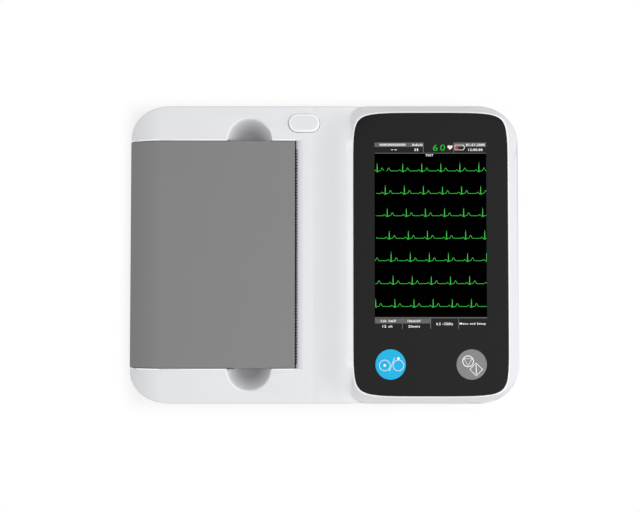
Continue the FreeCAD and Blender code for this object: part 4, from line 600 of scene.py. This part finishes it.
def toothed_strip_tree():
    start, given = new_tree("toothed_strip", (
        "Seat X", "Tip X", "Front Y", "Back Y", "Bottom Z", "Thickness", "Tooth depth", "Tooth pitch"))
    long = given["Back Y"] - given["Front Y"]
    middle = (given["Back Y"] + given["Front Y"]) / 2
    teeth = start.sum("ROUND", long / given["Tooth pitch"])
    sheet = start.node("GeometryNodeMeshGrid", inputs={
        "Size X": 2.0, "Size Y": long, "Vertices X": 2, "Vertices Y": teeth * 2 + 1})
    x, y, _ = axes(start.node("GeometryNodeInputPosition"))
    right = x.sum("GREATER_THAN", x, 0.0)
    step = (y + long / 2) / (long / (teeth * 2))
    out = 1 - abs(1 - start.sum("MODULO", step, 2.0))
    edge = given["Tip X"] - given["Tooth depth"] * (1 - out)
    across = given["Seat X"] + (edge - given["Seat X"]) * right
    spot = vector(start, across, y + middle, given["Bottom Z"])
    cut = start.node("GeometryNodeSetPosition", inputs={"Geometry": sheet, "Position": spot})
    raised = start.node("GeometryNodeExtrudeMesh", {"mode": "FACES"}, {
        "Mesh": cut, "Offset": vector(start, z=given["Thickness"]), "Offset Scale": 1.0,
        "Individual": False})
    under = start.node("GeometryNodeFlipFaces", inputs={0: cut})
    both = start.tree.nodes.new("GeometryNodeJoinGeometry")
    for half in (raised, under):
        start.tree.links.new(half.socket, both.inputs[0])
    closed = start.node("GeometryNodeMergeByDistance", inputs={
        "Geometry": Wire(start.tree, both.outputs[0]), "Distance": STRIP_MERGE})
    return close_tree(closed, given["Finish"])


low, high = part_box("tear_bar")
strip = run_tree(toothed_strip_tree(), "tear_bar_skin", {
    "Seat X": low.x, "Tip X": high.x, "Front Y": low.y, "Back Y": high.y, "Bottom Z": low.z,
    "Thickness": high.z - low.z, "Tooth depth": TOOTH_DEPTH, "Tooth pitch": TOOTH_PITCH,
    "Finish": blade_black})
wear("tear_bar", strip, blade_black)
print("tear bar:", len(strip.polygons), "faces")

# %% [markdown]
# ## Button spring
# Two bowed leaf springs lift the button, and they flatten by as much as the button goes down.
# A leaf that bends could be a chain of bones, but the bow is shallow and hidden under the shell.
# Here the springs only get a mesh of their own.

# %% The springs' own mesh
low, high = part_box("button_spring")
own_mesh(skins["button_spring"])
print("spring", round((high.z - low.z) * 1000, 1), "mm long at rest")

# %% [markdown]
# ## The lit screen
# The screen's picture shows through the panel, so it is laid on the panel as thin lit films.
# One picture file would do, but films stay sharp at any distance.
# All places on it are measured in millimetres from the screen's top left corner.
# Films are a few hundredths of a millimetre thick, in layers from the black field up to the words.

# %% Screen measures and light
FRAME_BORDER, PICTURE_DROP = 0.0075, 0.00175
FILM = 0.00004
PANEL_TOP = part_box("touch_panel")[1].z
low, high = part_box("display_module")
SCREEN_LEFT, SCREEN_TOP = low.x + FRAME_BORDER, high.y - FRAME_BORDER - PICTURE_DROP
WIDE = (high.x - low.x - 2 * FRAME_BORDER) * 1000


def on_screen(u, v):
    """Place of a point u mm from the screen's left edge and v mm below its top edge."""
    return SCREEN_LEFT + u / 1000, SCREEN_TOP - v / 1000


def lit(name, colour, strength=0.5):
    """Film that shows its own colour, half of it as light, with the faint dot grid of a screen."""
    material, shader, place = finish(name, Specular_IOR_Level=0.0, Roughness=0.6,
                                     Emission_Strength=strength)
    dots = noise(place, scale=3000.0, detail=0.0)
    feed(shader, "Emission Color", mottled(colour, dots, 0.9, 1.1))
    feed(shader, "Base Color", mottled(colour, dots, 0.45, 0.55))
    return material


screen_black = lit("screen_black", tone(1, 1, 1))
screen_bar = lit("screen_bar", tone(104, 104, 104))
screen_rule = lit("screen_rule", tone(112, 112, 112))
screen_words = lit("screen_words", tone(245, 245, 245), strength=0.8)
trace_green = lit("trace_green", tone(80, 236, 92))
digit_green = lit("digit_green", tone(40, 200, 50))
alarm_red = lit("alarm_red", tone(214, 66, 66))
heart_white = lit("heart_white", tone(250, 236, 234))
print("screen", round(WIDE, 1), "mm wide")

# %% [markdown]
# ## Bars and rules of the screen
# A recorder's screen has a head and a foot of grey boxes, and a black field for the traces between them.
# Bare planes would show, but they have no underside, so they are no closed shapes for an export.
# So each box is a flat outline pulled up by one film's thickness.


# %% Closed films over flat outlines
def place_on_case(name, mesh, material):
    film = new_object(name, mesh, material)
    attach(film, "case")


def films(name, outlines, layer, material):
    """Closed slabs over flat outlines, one film thick, on the given layer above the panel."""
    work = bmesh.new()
    bottom = PANEL_TOP + layer * FILM
    for outline in outlines:
        floor = [work.verts.new((x, y, bottom)) for x, y in outline]
        roof = [work.verts.new((x, y, bottom + FILM)) for x, y in outline]
        work.faces.new(floor)
        work.faces.new(roof)
        for i in range(len(outline)):
            j = (i + 1) % len(outline)
            work.faces.new((floor[i], floor[j], roof[j], roof[i]))
    bmesh.ops.recalc_face_normals(work, faces=work.faces)
    mesh = bpy.data.meshes.new(name)
    work.to_mesh(mesh)
    work.free()
    place_on_case(name, mesh, material)


def oblong(u0, v0, u1, v1):
    (x0, y0), (x1, y1) = on_screen(u0, v0), on_screen(u1, v1)
    return [(x0, y1), (x1, y1), (x1, y0), (x0, y0)]


# %% Field, bars and rules
FIELD_LAYER, BAR_LAYER = 1, 2
HEAD_TOP, HEAD_SPLIT, HEAD_END, HEAD_RULE_END = 0.4, 4.7, 10.7, 11.2
FIELD_TOP, FIELD_END = 11.5, 173.5
FOOT_RULE, FOOT_TOP, FOOT_BAR, FOOT_SPLIT, FOOT_END = 174.2, 175.0, 175.4, 180.1, 185.4
head_bars = [oblong(left, HEAD_TOP, right, HEAD_SPLIT) for left, right in ((0, 48.4), (78.5, WIDE))]
foot_bars = [oblong(left, FOOT_BAR, right, FOOT_SPLIT) for left, right in ((0, 27.0), (27.6, 54.9))]
head_rules = [oblong(left, HEAD_TOP, right, HEAD_END) for left, right in ((48.2, 48.8), (78.3, 78.9))]
foot_rules = [oblong(left, FOOT_TOP, right, FOOT_END)
              for left, right in ((26.9, 27.5), (54.8, 55.5), (82.5, 83.1))]
under_head, over_foot = oblong(0, HEAD_END, WIDE, HEAD_RULE_END), oblong(0, FOOT_RULE, WIDE, FOOT_TOP)
films("screen_field", [oblong(0, FIELD_TOP, WIDE, FIELD_END)], FIELD_LAYER, screen_black)
films("screen_bars", head_bars + foot_bars, BAR_LAYER, screen_bar)
films("screen_rules", [under_head] + head_rules + [over_foot] + foot_rules, BAR_LAYER, screen_rule)
print("bars:", len(head_bars + foot_bars), "upright rules:", len(head_rules + foot_rules))

# %% [markdown]
# ## Numbers and units
# A recorder shows the pulse, the time, the paper speed and the gain in plain numbers and units.
# They are so small here that only their size and place matter, so each line gives just those.
# Drawing letters by hand would be slow work. Blender's own are made a mesh, then stretched to their place.

# %% Words on the screen
SIGN_LAYER = 4
LETTER_HALF = 0.01


def film_middle(layer):
    return PANEL_TOP + (layer + 0.5) * FILM


def words(name, lines, layer, material, weight=0.014):
    """Short words on the screen: text, left edge, middle height, letter height and width of each."""
    work = bmesh.new()
    for text, u, v, height, width in lines:
        curve = bpy.data.curves.new(name, "FONT")
        curve.body = text
        curve.size = 1.0
        curve.extrude = LETTER_HALF
        curve.offset = weight
        curve.space_character = 1.2
        curve.resolution_u = 2
        mesh = as_mesh(bpy.data.objects.new(name, curve))
        xs = [vertex.co.x for vertex in mesh.vertices]
        ys = [vertex.co.y for vertex in mesh.vertices]
        wide, tall = max(xs) - min(xs), max(ys) - min(ys)
        size = Matrix.Diagonal((width / 1000 / wide, height / 1000 / tall, FILM / (2 * LETTER_HALF), 1))
        start = Matrix.Translation((-min(xs), -(min(ys) + max(ys)) / 2, 0))
        mesh.transform(Matrix.Translation((*on_screen(u, v), film_middle(layer))) @ size @ start)
        work.from_mesh(mesh)
    mesh = bpy.data.meshes.new(name)
    work.to_mesh(mesh)
    work.free()
    place_on_case(name, mesh, material)
    print(name, "with", len(lines), "lines")


words("screen_text", [
    ("00000000000000", 5.2, 2.6, 2.4, 25.6), ("Adult", 37.2, 2.6, 2.4, 10.6),
    ("--", 16.4, 7.6, 0.5, 5.6), ("35", 39.6, 7.6, 2.5, 4.0),
    ("01-01-2000", 91.2, 2.7, 2.5, 18.4), ("12:00:00", 93.4, 7.6, 2.5, 14.0),
    ("TEST", 50.6, 13.1, 2.0, 7.8),
    ("1ch 1mV", 6.0, 177.7, 2.4, 14.8), ("12 ch", 7.6, 183.0, 2.4, 9.6),
    ("10mm/mV", 32.4, 177.7, 2.4, 12.8), ("25mm/s", 33.2, 183.0, 2.4, 11.2),
    ("0.5 -150Hz", 60.8, 180.6, 2.6, 16.4), ("Menu and Setup", 83.9, 180.6, 2.6, 25.8),
], SIGN_LAYER, screen_words)
words("pulse_digits", [("6", 58.1, 5.5, 6.2, 4.7), ("0", 65.3, 5.5, 6.2, 4.9)],
      SIGN_LAYER, digit_green, weight=-0.004)

# %% [markdown]
# ## Heart and battery
# Beside the pulse stand a small heart and a battery with little charge left.
# The heart is a known curve of sines, which takes fewer numbers than drawing it by points.
# The battery is an outline, so it is a curve with a round width, pressed as flat as a film.

# %% Heart and battery
HEART_POINTS, HEART_SPAN = 28, 32
BATTERY_LINE = 0.0005


def heart(u, v, size):
    points = []
    for i in range(HEART_POINTS):
        t = 2 * math.pi * i / HEART_POINTS
        across = 16 * math.sin(t) ** 3
        up = 13 * math.cos(t) - 5 * math.cos(2 * t) - 2 * math.cos(3 * t) - math.cos(4 * t)
        points.append(on_screen(u + across * size / HEART_SPAN, v - up * size / HEART_SPAN))
    return points


def strokes(name, paths, width, layer, material):
    """Flat drawn lines of one width. Each path is its points and whether it closes."""
    curve = bpy.data.curves.new(name, "CURVE")
    curve.dimensions = "3D"
    curve.bevel_depth = width / 2
    curve.bevel_resolution = 1
    curve.use_fill_caps = True
    for points, closed in paths:
        spline = curve.splines.new("POLY")
        spline.points.add(len(points) - 1)
        for spot, (x, y) in zip(spline.points, points):
            spot.co = (x, y, 0, 1)
        spline.use_cyclic_u = closed
    mesh = as_mesh(bpy.data.objects.new(name, curve))
    pressed = Matrix.Diagonal((1, 1, FILM / width, 1))
    mesh.transform(Matrix.Translation((0, 0, film_middle(layer))) @ pressed)
    place_on_case(name, mesh, material)
    print(name, "with", len(paths), "paths")


battery = [on_screen(u, v) for u, v in ((80.0, 2.9), (88.6, 2.9), (88.6, 3.8), (89.5, 4.5),
                                        (89.5, 6.1), (88.6, 6.8), (88.6, 7.7), (80.0, 7.7))]
films("pulse_heart", [heart(75.1, 5.1, 5.2)], SIGN_LAYER, heart_white)
strokes("battery_sign", [(battery, True)], BATTERY_LINE, SIGN_LAYER, screen_words)
films("battery_level", [oblong(81.0, 3.7, 83.2, 6.9)], SIGN_LAYER, alarm_red)

# %% [markdown]
# ## Heartbeat traces
# Seven leads run across the screen, and each beat is the same small shape: P, QRS and T waves.
# Drawing every beat would be a long list of points, but the shape repeats by a rule.
# So a node tree lifts a row of points by a sum of bumps, each with its place, width and height.
# The points become a curve, the curve a thin tube, and the tube is pressed flat on the screen.

# %% The trace as a node tree
POINT_STEP = 0.00012
R_WIDTH = 0.00024
DIP_PLACE, DIP_WIDTH, DIP_DEPTH = 0.0006, 0.0005, 0.0011
T_PLACE, T_WIDTH, T_HEIGHT = 0.0050, 0.0011, 0.0030
P_PLACE, P_WIDTH, P_HEIGHT = 0.0030, 0.0009, 0.0012


def bell(off, width):
    """Smooth hump of height 1 around zero."""
    share = off / width
    return share.sum("EXPONENT", 0 - share * share)


def peak(off, width):
    """Sharp triangle of height 1 around zero."""
    return (1 - abs(off) / width).at_least(0.0)


def trace_tree():
    start, given = new_tree("heartbeat_trace", (
        "Start X", "Length", "Baseline Y", "First beat X", "Beat spacing", "R height", "Line width",
        "Height Z"))
    points = start.node("GeometryNodeMeshLine", {"mode": "OFFSET"}, {
        "Count": given["Length"] / POINT_STEP + 1, "Start Location": vector(start, given["Start X"]),
        "Offset": (POINT_STEP, 0, 0)})
    x = axes(start.node("GeometryNodeInputPosition"))[0]
    half = given["Beat spacing"] / 2
    beat = start.node("ShaderNodeMath", {"operation": "WRAP"},
                      {0: x - given["First beat X"], 1: half, 2: 0 - half})
    wave = (peak(beat, R_WIDTH) * given["R height"] - peak(abs(beat) - DIP_PLACE, DIP_WIDTH) * DIP_DEPTH
            + bell(beat - T_PLACE, T_WIDTH) * T_HEIGHT + bell(beat + P_PLACE, P_WIDTH) * P_HEIGHT)
    lifted = vector(start, x, wave + given["Baseline Y"])
    shaped = start.node("GeometryNodeSetPosition", inputs={"Geometry": points, "Position": lifted})
    path = start.node("GeometryNodeMeshToCurve", inputs={0: shaped})
    outline = start.node("GeometryNodeCurvePrimitiveCircle", inputs={
        "Resolution": 4, "Radius": given["Line width"] / 2})
    tube = start.node("GeometryNodeCurveToMesh", inputs={0: path, 1: outline, "Fill Caps": True})
    pressed = start.node("GeometryNodeTransform", inputs={
        "Geometry": tube, "Scale": vector(start, 1.0, 1.0, FILM / given["Line width"]),
        "Translation": vector(start, z=given["Height Z"])})
    return close_tree(pressed, given["Finish"])


heartbeat = trace_tree()

# %% [markdown]
# ## Seven leads
# The leads lie one under the other, and the beats of each stand a little to the right of those above.
# The first is broken once, where the recorder draws over its old trace, so it is two runs of the tree.
# Each run gives its height, its left end, its length and the place of its first beat, in millimetres.

# %% Leads on the screen
BEAT, R_HEIGHT, TRACE_LINE = 0.01895, 0.0094, 0.00034
LEADS = [(28.7, 0.0, 9.3, 2.6), (28.7, 11.7, WIDE - 11.7, 9.0),
         (51.2, 1.5, WIDE - 1.5, 10.6), (73.4, 1.5, WIDE - 1.5, 12.5),
         (95.9, 1.5, WIDE - 1.5, 14.4), (118.1, 0.0, WIDE, 16.2),
         (140.8, 0.6, WIDE - 0.6, 18.1), (163.4, 0.4, WIDE - 0.8, 19.8)]
work = bmesh.new()
for v, u, length, beat in LEADS:
    (x, y), (beat_x, _) = on_screen(u, v), on_screen(beat, v)
    work.from_mesh(run_tree(heartbeat, "lead", {
        "Start X": x, "Length": length / 1000, "Baseline Y": y, "First beat X": beat_x,
        "Beat spacing": BEAT, "R height": R_HEIGHT, "Line width": TRACE_LINE,
        "Height Z": film_middle(SIGN_LAYER), "Finish": trace_green}))
bmesh.ops.recalc_face_normals(work, faces=work.faces)
leads = bpy.data.meshes.new("heartbeat_leads")
work.to_mesh(leads)
work.free()
place_on_case("heartbeat_leads", leads, trace_green)
print("leads:", len(leads.polygons), "faces")

# %% [markdown]
# ## Signs on the touch keys
# The blue key carries the mains sign pair for on and stand-by, and the grey key stop and start.
# They are thin white line drawings. A mask in the key's finish would blur at their edges.
# So each is a few paths given a width, measured from the middle of the key's own solid.

# %% Key signs
KEY_LAYER, POWER_LINE, SIGN_LINE = 1, 0.0006, 0.0010
SIGN_RING, RING_POINTS, DOT_POINTS = 0.0053, 40, 16


def key_middle(node):
    low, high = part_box(node)
    return (low.x + high.x) / 2, (low.y + high.y) / 2


def ring(x, y, radius, count=RING_POINTS):
    angles = [2 * math.pi * i / count for i in range(count)]
    return [(x + radius * math.cos(angle), y + radius * math.sin(angle)) for angle in angles]


x, y = key_middle("power_key")
on_x, off_x, ring_y = x - 0.0058, x + 0.0077, y - 0.0009
slash = [(x - 0.0015, y - 0.0068), (x + 0.0040, y + 0.0067)]
dots = [ring(on_x, ring_y, 0.0013, DOT_POINTS), ring(off_x, y + 0.0059, 0.0014, DOT_POINTS)]
strokes("power_sign", [(ring(on_x, ring_y, SIGN_RING), True), (ring(off_x, ring_y, SIGN_RING), True),
                       (slash, False)], POWER_LINE, KEY_LAYER, ink_white)
films("power_dots", dots, KEY_LAYER, ink_white)
x, y = key_middle("start_key")
left, up = x - 0.0036, y + 0.0032
triangle = [(left - 0.0041, up + 0.0026), (left + 0.0041, up + 0.0026), (left, up - 0.0042)]
strokes("stop_sign", [(ring(left, up, SIGN_RING), True), (triangle, True)], SIGN_LINE, KEY_LAYER, ink_white)
right, down = x + 0.0044, y - 0.0048
diamond = [(right, down + 0.0062), (right + 0.0063, down), (right, down - 0.0062), (right - 0.0063, down)]
upright = [(right, down + 0.0046), (right, down - 0.0046)]
strokes("start_sign", [(diamond, True), (upright, False)], SIGN_LINE, KEY_LAYER, ink_white)

# %% [markdown]
# ## White table
# The recorder lies on a white table. More light would make it white, but would clip the shell as well.
# So for the camera the table is half lit by itself close to the case, and wholly so a little way off.
# That keeps a pale shadow round the case and a plain white beyond it.

# %% Table
TABLE_Z, TABLE_HALF, SHADOW_REACH = -0.0002, 3, 0.026
TABLE_GREY, TABLE_WHITE = (0.55, 0.55, 0.55, 1), (1, 1, 1, 1)
OWN_LIGHT = 0.5


def shown(tree):
    """1 for rays from the camera, or from a gloss or a glass that shows what is behind it."""
    path = tree.nodes.new("ShaderNodeLightPath")
    seen = Wire(tree, path.outputs["Is Camera Ray"])
    for ray in ("Is Glossy Ray", "Is Transmission Ray"):
        seen = seen.at_least(Wire(tree, path.outputs[ray]))
    return seen


corners = [(x * TABLE_HALF, y * TABLE_HALF, TABLE_Z) for x, y in ((-1, -1), (1, -1), (1, 1), (-1, 1))]
table_mesh = bpy.data.meshes.new("table")
table_mesh.from_pydata(corners, [], [(0, 1, 2, 3)])
table_white = bpy.data.materials.new("table_white")
table_white.use_nodes = True
tree = table_white.node_tree
tree.nodes.clear()
seen = shown(tree)
x, y, _ = axes(object_place(tree))
(left, front, _), (right, back, _) = solid_box
beside = (abs(x - (left + right) / 2) - (right - left) / 2).at_least(0.0)
beyond = (abs(y - (front + back) / 2) - (back - front) / 2).at_least(0.0)
away = (distance(beside, beyond) / SHADOW_REACH).at_most(1.0)
share = OWN_LIGHT + (1 - OWN_LIGHT) * away * away * (3 - 2 * away)
matt = seen.node("ShaderNodeBsdfDiffuse", inputs={"Color": blend_colours(seen, TABLE_GREY, TABLE_WHITE)})
glow = seen.node("ShaderNodeEmission", inputs={"Color": TABLE_WHITE, "Strength": 1.0})
mixed = seen.node("ShaderNodeMixShader", inputs={0: seen * share, 1: matt, 2: glow})
leave = tree.nodes.new("ShaderNodeOutputMaterial")
tree.links.new(mixed.socket, leave.inputs[0])
table = new_object("table", table_mesh, table_white)
print("table laid at", TABLE_Z)

# %% [markdown]
# ## Light
# Soft light comes from all round, with a large lamp above and a small low one on the right.
# One lamp alone would leave what faces right as flat as the rest.
# With the low one the case's edge, the button's bevel and the left walls of the bowls glow a little.
# The room is white where it is seen, and dimmer as a light, so that white plastic doesn't clip.

# %% Room and lamps
ROOM_LIGHT = 0.62
LAMPS = {"large_lamp": ((0.80, -0.20, 2.08), 1.6, 20.5), "low_lamp": ((1.45, -0.15, 0.60), 0.5, 2.5)}
LAMP_AIM = Vector((0, 0, 0.06))
world = bpy.data.worlds.new("soft_room")
bpy.context.scene.world = world
world.use_nodes = True
sky = world.node_tree.nodes["Background"]
sky.inputs["Color"].default_value = (1, 1, 1, 1)
feed(sky, "Strength", ROOM_LIGHT + shown(world.node_tree) * (1 - ROOM_LIGHT))
for name, (spot, size, power) in LAMPS.items():
    lamp = bpy.data.lights.new(name, "AREA")
    lamp.shape = "SQUARE"
    lamp.size, lamp.energy = size, power
    holder = bpy.data.objects.new(name, lamp)
    holder.location = spot
    holder.rotation_euler = (LAMP_AIM - holder.location).to_track_quat("-Z", "Y").to_euler()
    bpy.context.scene.collection.objects.link(holder)
    print(name, power, "W")
bpy.context.scene.view_settings.view_transform = "Standard"

# %% [markdown]
# ## Camera
# The recorder is seen from straight above, tipped back by about two degrees.
# A camera without perspective would be simpler, but the raised pod would then not lean outwards.
# A normal lens at under a metre gives that slight lean.

# %% Eye above the recorder
TILT, REACH = math.radians(1.9), 0.889
AIM = Vector((-0.0034, -0.0019, 0.064))
eye = bpy.data.cameras.new("eye")
eye.lens, eye.sensor_width = 50, 36
camera = bpy.data.objects.new("eye", eye)
camera.location = AIM + REACH * Vector((0, -math.sin(TILT), math.cos(TILT)))
camera.rotation_euler = (TILT, 0, 0)
bpy.context.scene.collection.objects.link(camera)
bpy.context.scene.camera = camera
print("camera at", [round(v, 4) for v in camera.location])
